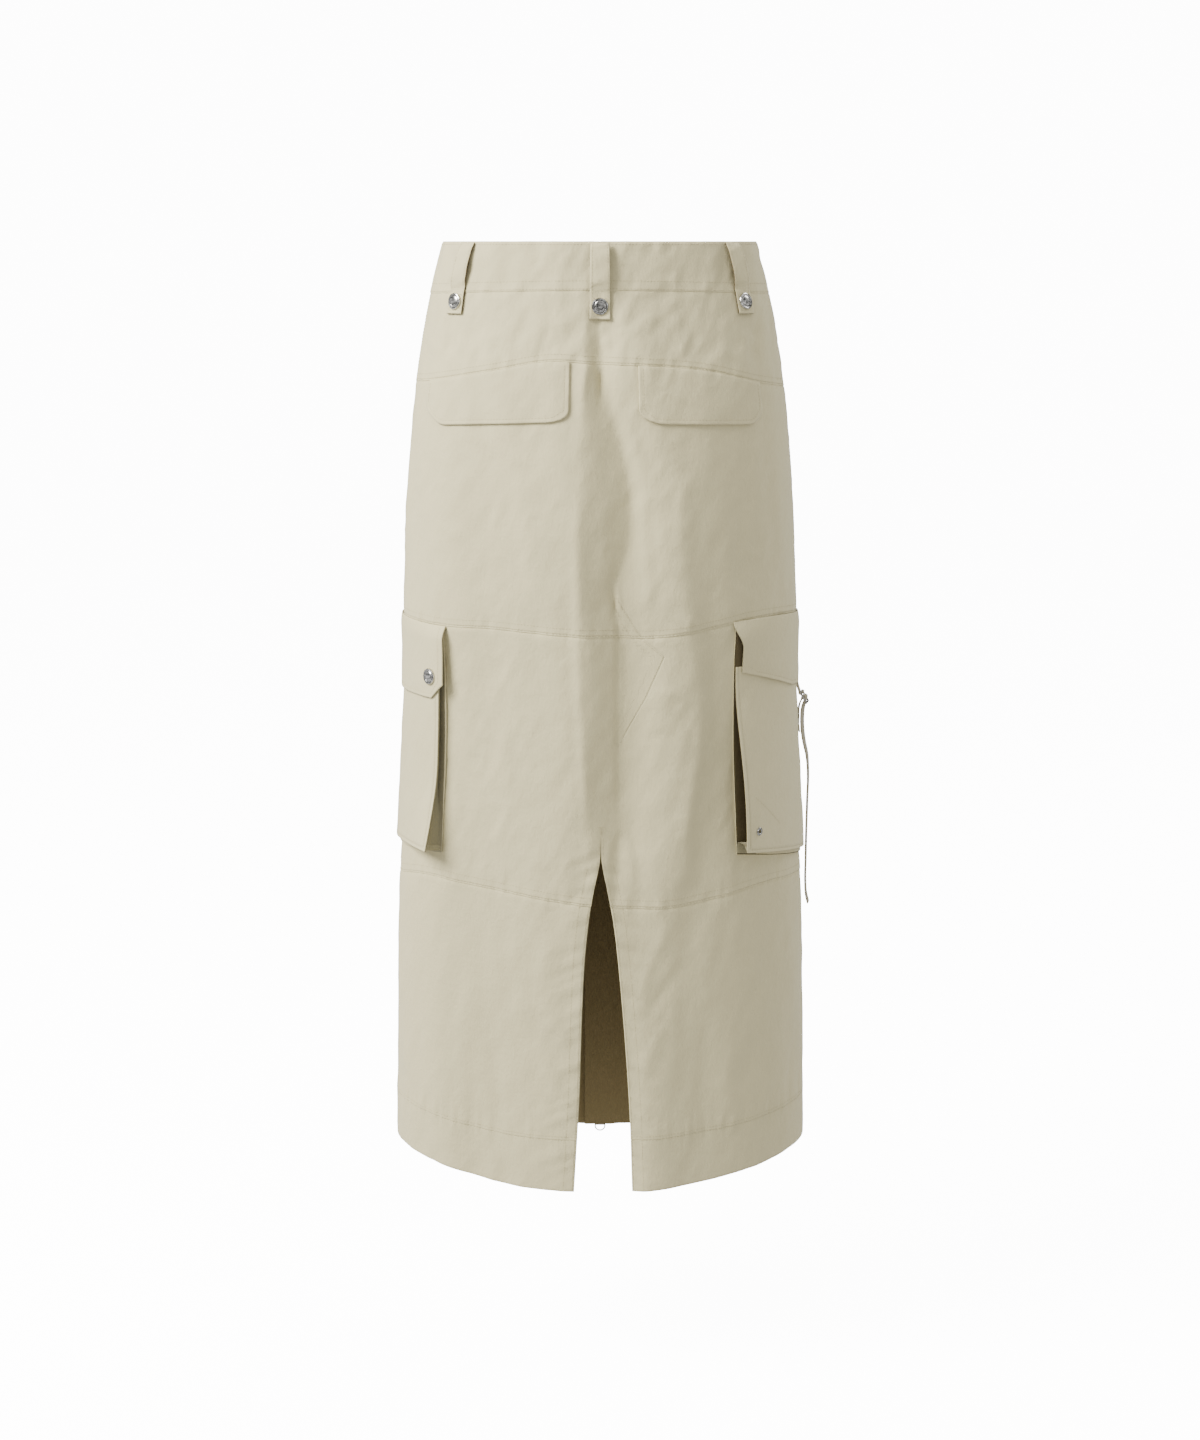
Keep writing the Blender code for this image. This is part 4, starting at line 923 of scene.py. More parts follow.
def make_metal_material(name, colour, roughness, tarnish):
    """Plated metal with fine scratches and duller patches."""
    recipe = Recipe(name, metallic=1.0)
    place = recipe.place()
    cloud = recipe.noise(place, 420.0, 4.0, 0.6)
    scratch = recipe.noise(recipe.stretched(place, 900.0, 9000.0, 0.5), 1.0, 3.0)
    dull = recipe.node("ShaderNodeValToRGB", {"stops": ((0.42, 0.0), (0.66, 1.0))}, {"Fac": cloud})
    recipe.set("Base Color", recipe.mixed(dull, tinted(colour, 1.0), tinted(colour, tarnish)))
    recipe.set("Roughness", dull * 0.12 + scratch * 0.10 + roughness)
    recipe.set("Normal", recipe.bump(scratch, 0.00002, 0.4))


def make_materials(colours, stage):
    cloth, inside = tuple(colours.cloth), tuple(colours.inside)
    # Painted shade: thin dark lines 1.4 mm above each lower seam, at the hem's stitching, and at and 1.6 mm in
    # from free edges.
    make_cloth_material("cotton_twill", cloth, seams=(1.4,), edges=(0.0, 1.6))
    # The inside: a darker wrong side, made darker still as painted shade for the skirt's shaded inside.
    make_cloth_material("cotton_twill_inside", inside, sheen=0.05)
    # Painted shade: a thin dark line along the free edges of flaps and loops.
    make_cloth_material("flap_twill", cloth, edges=(0.0,))
    # Painted shade: the cloth at half its brightness, on the rims and undersides of flaps, the pocket faces'
    # rims and inner sides, and the gussets' corners.
    make_cloth_material("painted_half_shade", tinted(cloth, 0.5), sheen=0.1)
    # Painted shade for the gussets' deep slots; the right one also darkens the loops' undersides and rims.
    make_cloth_material("painted_shade_left", tinted(cloth, 0.4), sheen=0.05)
    make_cloth_material("painted_shade_right", tinted(inside, 0.32), sheen=0.05)
    # Webbing: partly its own darker dye, partly painted shade, darkened for a strap that hangs in shade.
    make_cloth_material("webbing", tuple(colours.webbing), thread_pitch=0.0007, ribs=0.0022, crinkle=0.3)
    make_cloth_material("zip_tape", tinted(colours.webbing, 0.93), thread_pitch=0.0005, ribs=0.0009,
                        crinkle=0.3)
    make_cloth_material("thread", tuple(colours.thread), thread_pitch=0.0004, crinkle=0.3, sheen=0.1)
    make_metal_material("nickel", tuple(colours.metal), 0.10, 0.72)
    make_metal_material("nickel_teeth", tinted(colours.metal, 0.45), 0.28, 0.6)
    make_metal_material("nickel_rings", tinted(colours.metal, 0.2), 0.36, 0.6)
    # Painted reflection for the metal: a sphere seen only in reflections, black with glowing black and white
    # bands.
    dark = Recipe("reflection_glow_bands", roughness=0.9, base_color=(0.02, 0.02, 0.02, 1),
                  emission_strength=stage.drape)
    bands = dark.noise(dark.stretched(dark.place(), 0.25, 0.25), 1.0, 1.0)
    bands = dark.node("ShaderNodeValToRGB", {"stops": ((0.44, 0.0), (0.60, 1.0))}, {"Fac": bands})
    dark.set("Emission Color", dark.mixed(bands, (0.0, 0.0, 0.0, 1), (1.0, 1.0, 1.0, 1)))
    backdrop = Recipe("studio_paper", roughness=0.95)
    pale = backdrop.noise(backdrop.place(), 3.0)
    white = backdrop.mixed(pale, (0.93, 0.93, 0.93, 1), (0.95, 0.95, 0.95, 1))
    backdrop.set("Base Color", white)
    backdrop.set("Emission Color", white)
    backdrop.set("Emission Strength", stage.paper)


# Panels of cloth.

# A tucked margin: where its first rows lie from the seam, and how deep it is and how soon it surfaces.
LEAD = (-0.0040, -0.0012, 0.0, 0.0007, 0.0015, 0.0026)
SINK, SINK_REACH, BAND_SINK_SHARE = 0.0005, 0.0028, 0.5


def from_edge(share, count, start, end):
    """Places along a panel from its tucked edge, closer together near that edge."""
    k = np.rint(share * count).astype(int)
    lead = np.array(LEAD)
    inner = (k - len(lead) + 1) / (count - len(lead) + 1)
    return np.where(k < len(lead), start + lead[np.minimum(k, len(lead) - 1)],
                    start + lead[-1] + (end - start - lead[-1]) * inner)


def sunk(offset):
    """How deep a margin lies that is tucked under its neighbour, at this distance from the seam."""
    return -SINK * (1 - smooth(offset / SINK_REACH))


def body_shape(columns, rows, ends, above, below, side_tucked=0, free=()):
    """The shape of a body panel between two ends, given as functions of drop, and two seams.

    Its upper edge is tucked, and with side_tucked its left (1) or right (-1) side too. Free edges show wear and
    a painted line of shade.
    """
    def shape(u, v):
        angle = ends[0](0.5) + (ends[1](0.5) - ends[0](0.5)) * u
        for _ in range(3):
            drop = from_edge(v, rows, above(angle), below(angle))
            first, last = ends[0](drop), ends[1](drop)
            if not side_tucked:
                angle = first + (last - first) * u
                side_sunk = 0.0
            else:
                start, end = (first, last) if side_tucked > 0 else (last, first)
                length = np.abs(along_cloth(end, drop) - along_cloth(start, drop))
                share = u if side_tucked > 0 else 1 - u
                off = from_edge(share, columns, 0.0, length)
                angle = start + (end - start) * off / length
                side_sunk = sunk(off)
        top_sunk = sunk(drop - above(angle)) * (BAND_SINK_SHARE if above is waist_seam else 1.0)
        points = skirt(angle, drop, np.minimum(top_sunk, side_sunk))
        edge = 0.55 * np.exp(-np.abs(drop - below(angle)) / 0.0012)
        height = 1000 * (below(angle) - drop)
        if below is hem:  # the painted line of shade lies at the hem's stitching
            height = 1.4 + 1600 * (hem_turn(angle) + 0.0032 - drop)
        inside = np.full(angle.shape, FAR)
        for line in free:
            gap = 1000 * np.abs(along_cloth(line(drop), drop) - along_cloth(angle, drop))
            edge, inside = np.maximum(edge, np.exp(-gap / 1.2)), np.minimum(inside, gap)
        return points, laid_flat(angle, drop), edge, height, inside, from_dart(angle, drop)

    return shape


def side_angle(turn):
    return lambda drop: np.full(np.shape(drop), 90.0 * turn)


def zip_angle(turn):
    return lambda drop: turn * (180 - angle_of(ZIP_EDGE, drop))


def centre_angle(line):
    return lambda drop: angle_of(line(drop), drop)


def panel(name, columns, rows, ends, above, below, **options):
    shape = body_shape(columns, rows, ends, above, below, **options)
    cloth_piece(name, columns, rows, shape, round_edge=0.00035 if below is hem else 0.0)


def make_back():
    sides, edges = (side_angle(-1), side_angle(1)), (centre_angle(vent_left), centre_angle(vent_right))
    across = 250
    panel("back_yoke", across, 28, sides, waist_seam, yoke_seam)
    panel("back_upper", across, 76, sides, yoke_seam, knee_seam)
    halves = {"left": (sides[0], edges[0]), "right": (edges[1], sides[1])}
    parts, sizes = [], []
    for hand, ends in halves.items():
        shape = body_shape(across // 2, 82, ends, knee_seam, lower_seam)
        part, size = grid(f"back_middle_{hand}", across // 2, 82, shape)
        parts.append(part)
        sizes.append(size)
    joined = merge(parts, "back_middle", 0.00004)
    widths, lengths, areas = zip(*sizes)
    as_cloth(joined, (sum(widths), max(lengths), sum(areas)), ["back_middle"])
    for (hand, ends), edge in zip(halves.items(), edges):
        panel(f"back_lower_{hand}", across // 2, 92, ends, lower_seam, hem, free=(edge,))


def make_front():
    tiers = [
        ("yoke", waist_seam, yoke_seam, 22), ("upper", yoke_seam, knee_seam, 56),
        ("middle", knee_seam, lower_seam, 60), ("lower", lower_seam, hem, 66),
    ]
    for hand, turn in HANDS.items():
        ends = (side_angle(turn), zip_angle(turn))[::turn]
        for tier, above, below, rows in tiers:
            panel(f"front_{tier}_{hand}", 66, rows, ends, above, below, side_tucked=turn,
                  free=(zip_angle(turn),))


def make_waistband():
    for hand, turn in HANDS.items():
        def shape(u, v):
            share = u if turn > 0 else 1 - u
            angle = turn * (0.06 + (180 - angle_of(ZIP_EDGE, 0.0) - 0.06) * share)
            drop = 0.00002 + waist_seam(angle) * v
            above_seam = (waist_seam(angle) - drop) / 0.001
            roll = 0.0005 * (1 - smooth(drop / 0.0015)) + 0.0001 * (1 - smooth(above_seam))
            points = skirt(angle, drop, BAND_OUT - roll)
            edge = np.minimum(np.exp(-drop / 0.0012) + 0.5 * np.exp(-above_seam), 1.0)
            return points, laid_flat(angle, drop), edge, FAR, 3.0 + 600 * drop, FAR_FROM_DART

        cloth_piece(f"waistband_{hand}", 170, 20, shape, thickness=BAND_THICKNESS, round_edge=0.0005)


# Belt loops and flaps.

CROWDING = 0.14

def degrees_along(length, angle, drop):
    """The angle that this length takes up along the skirt's section."""
    turn = math.radians(angle)
    depth = back_depth(drop) if abs(angle) <= 90 else front_depth(drop)
    return math.degrees(length / math.hypot(half_width(drop) * math.cos(turn), depth * math.sin(turn)))


loop_drop, loop_out = (curve([(k, *row) for k, row in enumerate(LOOP_LINE)], column) for column in (1, 2))


def loop_surface(name):
    """The outer face of a belt loop, at a place along it (0 to 1) and across it (-1 to 1)."""
    angle, higher, bulge = LOOPS[name]
    half = degrees_along(LOOP_WIDTH / 2, angle, 0.03)
    last_drop, last_out = LOOP_LINE[-1]

    def surface(side, share):
        k = share * (len(LOOP_LINE) - 1)
        drop = loop_drop(k) * (1 - higher / last_drop)
        out = last_out + (loop_out(k) - last_out) * bulge + LOOP_THICKNESS / 2
        ripple = 0.0003 * np.sin(23 * share + angle) * np.sin(9 * share + 2 * side)
        crown = 0.0003 * (1 - side**2)
        lies = smooth((share - 0.62) / 0.15)
        at = angle + half * side
        return form(at, drop, out + ripple + crown + lies * Skirt.creasing.at(at, drop))

    return surface


def make_loops():
    for name in LOOPS:
        surface = loop_surface(name)

        def shape(u, v):
            side = 2 * u - 1
            inside = 1000 * np.minimum((1 - np.abs(side)) * LOOP_WIDTH / 2, (1 - v) * LOOP_LENGTH)
            uv = np.stack([side * LOOP_WIDTH / 2, -v * LOOP_LENGTH], 1)
            return surface(side, v), uv, 0.0, FAR, inside, FAR_FROM_DART

        # The loops' undersides and rims take painted shade, for the dark gap beneath them.
        cloth_piece(f"loop_{name}", 12, 48, shape, slot="flap_twill", thickness=LOOP_THICKNESS,
                    round_edge=0.0003, colours=("flap_twill", "painted_shade_right"), rim=1)


def crowded(share):
    """Moves evenly spaced shares towards both ends."""
    return share - CROWDING * np.sin(2 * np.pi * share)


def flap_field(first, last, lower, upper, u, v, lean=0.0):
    """Angles, drops and distances from the free edges on a flap that hangs from a seam."""
    angle = first + (last - first) * crowded(u)
    top, bottom = upper(angle) + 0.0001, lower(angle)
    drop = top + (bottom - top) * (1 - (1 - v) ** 1.25)
    angle -= lean * (1 - smooth((drop - top) / 0.026)) * (1 - u) ** 4
    rate = per_degree(angle, drop)
    aside = np.minimum(angle - first + lean, last - angle) * rate
    slope = np.gradient(lower(np.linspace(first, last, 200)), (last - first) / 199 * rate.mean())
    tilt = np.interp(angle, np.linspace(first, last, 200), 1 / np.hypot(1, slope))
    return angle, drop, np.minimum(aside, (bottom - drop) * tilt)


def flap_relief(edge, drop, top):
    """A flap's rolled edge, the dip of its topstitching and a little fullness inside it."""
    roll = 0.00025 * (1 - smooth(edge / 0.0010))
    dip = 0.00010 * np.exp(-(((edge - FLAP_STITCHING) / 0.0011) ** 2))
    fullness = 0.0002 * smooth((edge - FLAP_STITCHING) / 0.010)
    return -roll - dip + fullness - 0.0004 * (1 - smooth((drop - top) / 0.003))


def back_flap_surface(hand):
    outline = BACK_FLAPS[hand]
    lower = straight(outline)
    first, last = outline[0][0], outline[-1][0]

    def surface(angle, drop, edge):
        out = FLAP_GAP + FLAP_THICKNESS + flap_relief(edge, drop, yoke_seam(angle))
        lift = 0.0003 * smooth((drop - yoke_seam(angle) - 0.025) / 0.02) * (1 - smooth(edge / 0.02))
        return skirt(angle, drop, out + lift)

    return surface, lower, first, last


def make_flaps():
    for hand in BACK_FLAPS:
        surface, lower, first, last = back_flap_surface(hand)

        def shape(u, v):
            angle, drop, edge = flap_field(first, last, lower, yoke_seam, u, v)
            uv = laid_flat(angle, drop)
            return surface(angle, drop, edge), uv, 0.0, FAR, 1000 * edge, FAR_FROM_DART

        cloth_piece(f"back_flap_{hand}", 90, 36, shape, rests_on=("back_upper_cloth",), **FLAP_FINISH)


# Cargo pockets.


class Pocket:
    """The shape of one cargo pocket: its bottom edge and how far its face stands off the skirt."""

    def __init__(self, hand):
        sizes = POCKETS[hand]
        self.sizes = sizes
        self.back, self.front = sizes["back"], sizes["front"]
        self.middle = math.copysign(90.0, self.back)
        self.at_back, self.at_side, self.at_front = (curve(sizes["off"], k) for k in (1, 2, 3))
        self.lower = straight(sizes["flap"])
        self.dents = Dents(31 if hand == "left" else 32)

    def bottom(self, angle):
        share = np.clip((angle - self.back) / (self.front - self.back), 0.0, 1.0)
        start, end = self.sizes["back_bottom"], self.sizes["front_bottom"]
        return start + (end - start) * np.sin(share * np.pi / 2)

    def off(self, angle, drop):
        """The face's outer side, from the skirt."""
        down = (drop - POCKET_TOP) / (self.bottom(angle) - POCKET_TOP)
        side = self.at_side(down)
        behind = np.abs(angle) < 90
        span = np.where(behind, abs(self.back - self.middle), abs(self.front - self.middle)) - SIDE_FLAT
        share = np.minimum(np.maximum(np.abs(angle - self.middle) - SIDE_FLAT, 0.0) / span, 1.0)
        return side + (np.where(behind, self.at_back(down), self.at_front(down)) - side) * share**2

    def edge(self, angle, drop):
        """The distance from the face's nearest free edge."""
        rate = per_degree(angle, drop)
        aside = np.minimum(np.abs(angle - self.back), np.abs(angle - self.front)) * rate
        return np.minimum(aside, self.bottom(angle) - drop)

    def soft(self, angle, drop):
        across = along_cloth(angle, drop)
        total = 0.0006 * self.dents.at(across, drop, 0.028, 0.045)
        return total + 0.0004 * self.dents.at(across + 0.6 * drop, drop - 0.3 * across, 0.013, 0.03)

    def face(self, angle, drop):
        edge = self.edge(angle, drop)
        roll = 0.0001 * (1 - smooth(edge / 0.0010)) + 0.0001 * np.exp(-(((edge - 0.0032) / 0.001) ** 2))
        inner = smooth(edge / 0.012)
        return form(angle, drop, self.off(angle, drop) - roll + inner * self.soft(angle, drop))

    def flap_off(self, angle, drop):
        """The flap's inner side: it leaves the seam and then lies on the face."""
        start = knee_seam(angle)
        rise = np.clip((drop - start) / (POCKET_TOP - start), 0.0, 1.0)
        tip = self.sizes["tip_lift"] * np.maximum(0.0, 1 - np.abs(angle - self.middle) / TIP_LIFT_DEGREES)
        off = self.off(angle, np.maximum(drop, POCKET_TOP)) + FLAP_SEAM + tip
        return 0.0003 + off * np.sin(rise * np.pi / 2)

    def flap(self, angle, drop, edge=0.02):
        start = knee_seam(angle)
        out = self.flap_off(angle, drop) + FLAP_THICKNESS + 0.7 * flap_relief(edge, drop, start)
        inner = smooth((edge - 0.002) / 0.01) * smooth((drop - start) / 0.01)
        return form(angle, drop, out + inner * np.abs(self.soft(angle, drop)) * 0.7)

    def flap_ends(self):
        rows = self.sizes["flap"]
        return rows[0][0], rows[-1][0]


def make_pocket(hand):
    pocket = Pocket(hand)
    first, last = sorted((pocket.back, pocket.front))

    def face_shape(u, v):
        angle = first + (last - first) * crowded(u)
        top = POCKET_TOP + pocket.sizes["corner"] * (1 - smooth((np.abs(angle - pocket.back) - 4.5) / 6))
        drop = top + (pocket.bottom(angle) - top) * (1 - (1 - v) ** 1.2)
        inside = 0.5 + np.minimum(350 * pocket.edge(angle, drop), 7.0)
        return pocket.face(angle, drop), laid_flat(angle, drop), 0.0, FAR, inside, FAR_FROM_DART

    # The face's rim and inner side take painted half shade.
    face = cloth_piece(f"pocket_face_{hand}", 84, 78, face_shape, round_edge=0.0002, rim=1,
                       rests_on=("back_middle_cloth",), colours=("cotton_twill", "painted_half_shade"))
    if hand == "right":
        cutter = add("cylinder", vertices=24, radius=EYELET_HOLE, depth=0.01)
        settle(cutter, seat(pocket.face, *EYELET_PLACE))
        cut(face, cutter)
        shade(face, 50.0)

    inset = math.copysign(GUSSET_INSET_DEGREES, pocket.back)
    ends = [(pocket.sizes["foot"], pocket.back + inset / 3), (pocket.front - inset, pocket.front - inset)]
    down_edge, along_bottom = 43, 61
    stations = [(*ends[0], share) for share in np.linspace(-0.07, 1, down_edge)[:-1]]
    stations += [(foot, outer, 1.0) for foot, outer in np.linspace(*ends, along_bottom)]
    stations += [(*ends[1], share) for share in np.linspace(1, -0.07, down_edge)[1:]]
    feet, outers, shares = np.array(stations).T
    lost = CLOTH + 2 * GUSSET_SEAM

    def gusset_shape(u, v):
        k = np.rint(u * (len(stations) - 1)).astype(int)
        rise = np.interp(v, [0.0, 0.42, 0.58, 1.0], [0.0, 0.12, 0.66, 1.0])
        angle, share = feet[k] + (outers[k] - feet[k]) * rise, shares[k]
        drop = POCKET_TOP + (pocket.bottom(angle) - CLOTH - POCKET_TOP) * share
        depth = pocket.off(angle, drop) - lost
        pleat = np.clip(depth * 1.5, 0.0090, 0.0200) * np.sin(np.pi * v) ** 1.1
        pleat = pleat * (1 - pocket.sizes["flat"] * smooth((share - 0.5) / 0.4))
        at_bottom = smooth((share - 0.965) / 0.035)
        inward = np.sign(pocket.middle - angle) * pleat * (1 - at_bottom)
        angle = angle + inward / np.abs(per_degree(angle, drop))
        drop = drop + GUSSET_FOOT_LOWER * share * (1 - v) - 0.45 * pleat * at_bottom
        ripple = 0.08 * pocket.dents.at(k * GUSSET_PITCH, v * 0.01, 0.013, 0.006) * np.sin(np.pi * v)
        off = np.maximum(pocket.off(angle, drop) - lost, 0.0004)
        seam = knee_seam(angle)
        under_flap = np.sin(np.clip((drop - seam) / (POCKET_TOP - seam), 0.05, 1) * np.pi / 2)
        points = form(angle, drop, GUSSET_SEAM * under_flap + off * (rise + ripple) * under_flap)
        uv = np.stack([k * GUSSET_PITCH, v * GUSSET_WIDTH], 1)
        return points, uv, np.exp(-np.minimum(v, 1 - v) * depth / 0.001)

    gusset = cloth_piece(f"pocket_gusset_{hand}", len(stations) - 1, 24, gusset_shape, centred=True,
                         rests_on=("back_middle_cloth",),
                         colours=("cotton_twill", f"painted_shade_{hand}", "painted_half_shade"))
    # The pleat's faces past its first 1.1 mm from the foot take painted shade: the darkest down both edges, the
    # painted half shade round the corners, and none along the bottom.
    line = np.empty(len(gusset.data.loops) * 2, np.float32)
    gusset.data.uv_layers["Cloth"].data.foreach_get("uv", line)
    for face in gusset.data.polygons:
        along, across = line[2 * face.loop_start : 2 * face.loop_start + 2]
        past_bottom = abs(along / GUSSET_PITCH - (len(stations) - 1) / 2) - along_bottom // 2
        if across > 0.0011:
            face.material_index = 1 if past_bottom > 1 else 2 if past_bottom > -5 else 0

    first, last = pocket.flap_ends()

    def flap_shape(u, v):
        angle, drop, edge = flap_field(first, last, pocket.lower, knee_seam, u, v, pocket.sizes["lean"])
        uv = laid_flat(angle, drop)
        return pocket.flap(angle, drop, edge), uv, 0.0, FAR, 1000 * edge, FAR_FROM_DART

    cloth_piece(f"pocket_flap_{hand}", 96, 44, flap_shape, rests_on=(f"pocket_face_{hand}_cloth",),
                **FLAP_FINISH)


# Webbing and slider.


def bar_centre(index):
    tilt = math.radians(BUCKLE_TILT)
    drop, x = BUCKLE_TOP
    return drop + index * BUCKLE_PITCH * math.cos(tilt), x + index * BUCKLE_PITCH * math.sin(tilt)


def wrap(centre, start, end, steps):
    radius = BUCKLE_BAR + 0.0003 + STRAP_THICKNESS / 2
    turns = np.radians(np.linspace(start, end, steps + 1))
    return [(centre[0] + radius * math.cos(t), centre[1] + radius * math.sin(t)) for t in turns]


def strap_lines():
    """The middle lines of the tab and of the strap, as rows of drop and x."""
    pocket = Pocket("right")

    def on_face(rows):
        faces = [float(form(90.0, drop, pocket.off(np.array(90.0), drop))[0]) for drop, off in rows]
        return [(drop, x + off) for x, (drop, off) in zip(faces, rows)]

    top, middle = bar_centre(0), bar_centre(1)
    return {
        "strap_tab": on_face(TAB_ON_FACE) + wrap(top, -100, 125, 8),
        "strap": on_face(ROOT_ON_FACE) + wrap(middle, -70, -290, 8) + STRAP_TAIL,
    }


def strap_path(line):
    """A smooth path through the line: where it is and which way is out, for a share of its length."""
    rows = np.array(line)
    lengths = np.concatenate([[0], np.cumsum(np.linalg.norm(np.diff(rows, axis=0), axis=1))])
    drop = curve(list(zip(lengths, rows[:, 0])), 1)
    x = curve(list(zip(lengths, rows[:, 1])), 1)
    total = lengths[-1]

    def path(share):
        at = share * total
        spot = np.stack([x(at), WAIST_TOP - drop(at)], -1)
        ahead = np.stack([x(at + 1e-4), WAIST_TOP - drop(at + 1e-4)], -1)
        behind = np.stack([x(at - 1e-4), WAIST_TOP - drop(at - 1e-4)], -1)
        heading = ahead - behind
        heading /= np.linalg.norm(heading, axis=-1, keepdims=True)
        return spot, np.stack([-heading[..., 1], heading[..., 0]], -1)

    return path, total


def make_strap():
    for name, line in strap_lines().items():
        path, total = strap_path(line)
        turned_by = straight(STRAP_TURNS[name])

        def shape(u, v):
            spot, out = path(v)
            side = (u - 0.5) * STRAP_WIDTH
            turn = np.radians(turned_by(v))
            xz = spot + out * (0.00025 * (1 - (2 * u - 1) ** 2))[:, None]
            points = np.stack([xz[:, 0] + side * np.sin(turn), side * np.cos(turn), xz[:, 1]], 1)
            edge = np.exp(-(0.5 - np.abs(u - 0.5)) * STRAP_WIDTH / 0.0006)
            return points, np.stack([side, -v * total], 1), edge

        cloth_piece(name, 10, 150 if name == "strap" else 60, shape, slot="webbing",
                    thickness=STRAP_THICKNESS, round_edge=0.0003, centred=True,
                    rests_on=("pocket_face_right_cloth",), colours=("webbing", "webbing"))

    buckle = add("grid", "strap_slider", x_subdivisions=3, y_subdivisions=5, size=1)
    flat = points_of(buckle)
    column = np.rint((flat[:, 0] + 0.5) * 3).astype(int)
    row = np.rint((flat[:, 1] + 0.5) * 5).astype(int)
    rail, bar, pitch = BUCKLE_RAIL, BUCKLE_BAR, BUCKLE_PITCH
    across = np.array([-rail - bar, -rail + bar, rail - bar, rail + bar])
    down = np.array([-pitch - bar, -pitch + bar, -bar, bar, pitch - bar, pitch + bar])
    put(buckle, np.stack([across[column], down[row], 0 * flat[:, 0]], 1))

    def in_window(centre, normal):
        return abs(centre.x) < rail - bar and bar < abs(centre.y) < pitch - bar

    pick_faces(buckle, in_window)
    bpy.ops.mesh.delete(type="FACE")
    leave_edit()
    modify(buckle, "SOLIDIFY", thickness=2 * bar, offset=0.0)
    modify(buckle, "BEVEL", width=0.00055, segments=3, limit_method="ANGLE", angle_limit=math.radians(40))
    drop, x = bar_centre(1)
    tilt = math.radians(BUCKLE_TILT)
    up = Vector((-math.sin(tilt), 0, math.cos(tilt)))
    side = Vector((0, 1, 0))
    turned = Matrix((side, up, side.cross(up))).transposed().to_4x4()
    turned = Matrix.Rotation(math.radians(-BUCKLE_TURN), 4, "Z") @ turned
    settle(buckle, Matrix.Translation((x, 0, WAIST_TOP - drop)) @ turned)
    as_hard(buckle, "nickel", "skirt", ["strap_buckle"])


# Zip.


def front_point(across, drop, out):
    """Points near the centre front, at these distances across the skirt."""
    turn = np.where(across >= 0, 1.0, -1.0)
    return form(turn * (180 - angle_of(np.abs(across), drop)), drop, out)


def make_tapes():
    for hand, turn in HANDS.items():
        def shape(u, v):
            share = u if turn < 0 else 1 - u
            across = turn * (TAPE_EDGE + (TAPE_OUTER - TAPE_EDGE) * share)
            drop = 0.0006 + (HEM_FRONT - 0.0016) * v
            wavy = 0.0002 * np.sin(drop * 140 + turn)
            points = front_point(across, drop, TAPE_OUT + wavy * share)
            return points, np.stack([across, -drop], 1), 0.3 * np.exp(-share * TAPE_WIDTH / 0.0005)

        cloth_piece(f"zip_tape_{hand}", 8, 220, shape, slot="zip_tape", thickness=TAPE_THICKNESS,
                    rests_on=(f"front_upper_{hand}_cloth",), colours=("zip_tape", "zip_tape"))


def make_guard():
    stations = np.array([(k, *row) for k, row in enumerate(GUARD_STATIONS)])
    across_at, out_at = curve(stations, 1), curve(stations, 2)

    def shape(u, v):
        k = (1 - u) * (len(stations) - 1)
        across, drop = across_at(k), 0.0012 + (HEM_FRONT - 0.0027) * v
        soft = 0.0005 * Skirt.creasing.dents[0].at(across, drop, 0.02, 0.045) * smooth(u * 3)
        points = front_point(across, drop, out_at(k) - np.abs(soft) * 0.6)
        edge = np.exp(-np.minimum(u, 1 - u) * GUARD_WIDTH / 0.0008)
        return points, np.stack([across, -drop], 1), 0.4 * edge

    cloth_piece("zip_guard", 24, 260, shape, rests_on=("zip_tape_right_cloth",))


def make_teeth():
    """One tooth, beveled, copied down both tapes in turn."""
    tooth = add("cube", size=1, scale=(0.0034, 0.0013, 0.0022))
    settle(tooth)
    pick_faces(tooth, lambda centre, normal: normal.x > 0.9)
    bpy.ops.mesh.inset(thickness=0.00025, depth=0.0003)
    leave_edit()
    start = SLIDER_DROPS["top"] + SLIDER_LENGTH + 0.0004
    end = SLIDER_DROPS["bottom"] - 0.0004
    teeth = []
    for k in range(int((end - start) / (TOOTH_PITCH / 2))):
        turn = 1 if k % 2 else -1
        drop = start + TOOTH_PITCH / 2 * (k + 0.5)
        spot = front_point(np.array([turn * TOOTH_ACROSS]), np.array([drop]), TOOTH_OUT)[0]
        upright = Matrix.Rotation(math.pi / 2, 4, "X") @ Matrix.Rotation(math.pi if turn > 0 else 0.0, 4, "Y")
        teeth.append(add_copy(tooth))
        teeth[-1].matrix_world = Matrix.Translation([float(x) for x in spot]) @ upright
    bpy.data.objects.remove(tooth)
    chain = merge(teeth, "zip_teeth")
    settle(chain)
    as_hard(chain, "nickel_teeth", "skirt", ["zip_chain"], degrees=25.0)


def added_box(size, where, round_edge=0.0, narrow=None):
    """A box added at its size and place, with one side narrowed and its edges rounded.

    narrow holds the side's direction, how much of each measure it keeps and the middle that it shrinks to.
    """
    box = add("cube", size=1)
    box.scale = size
    settle(box)
    if narrow:
        side, keep, middle = narrow
        pick_faces(box, lambda centre, normal: normal.dot(side) > 0.9)
        bpy.ops.transform.resize(value=keep, center_override=middle)
        leave_edit()
    if round_edge:
        modify(box, "BEVEL", width=round_edge, segments=3, limit_method="ANGLE")
    settle(box, where)
    return box


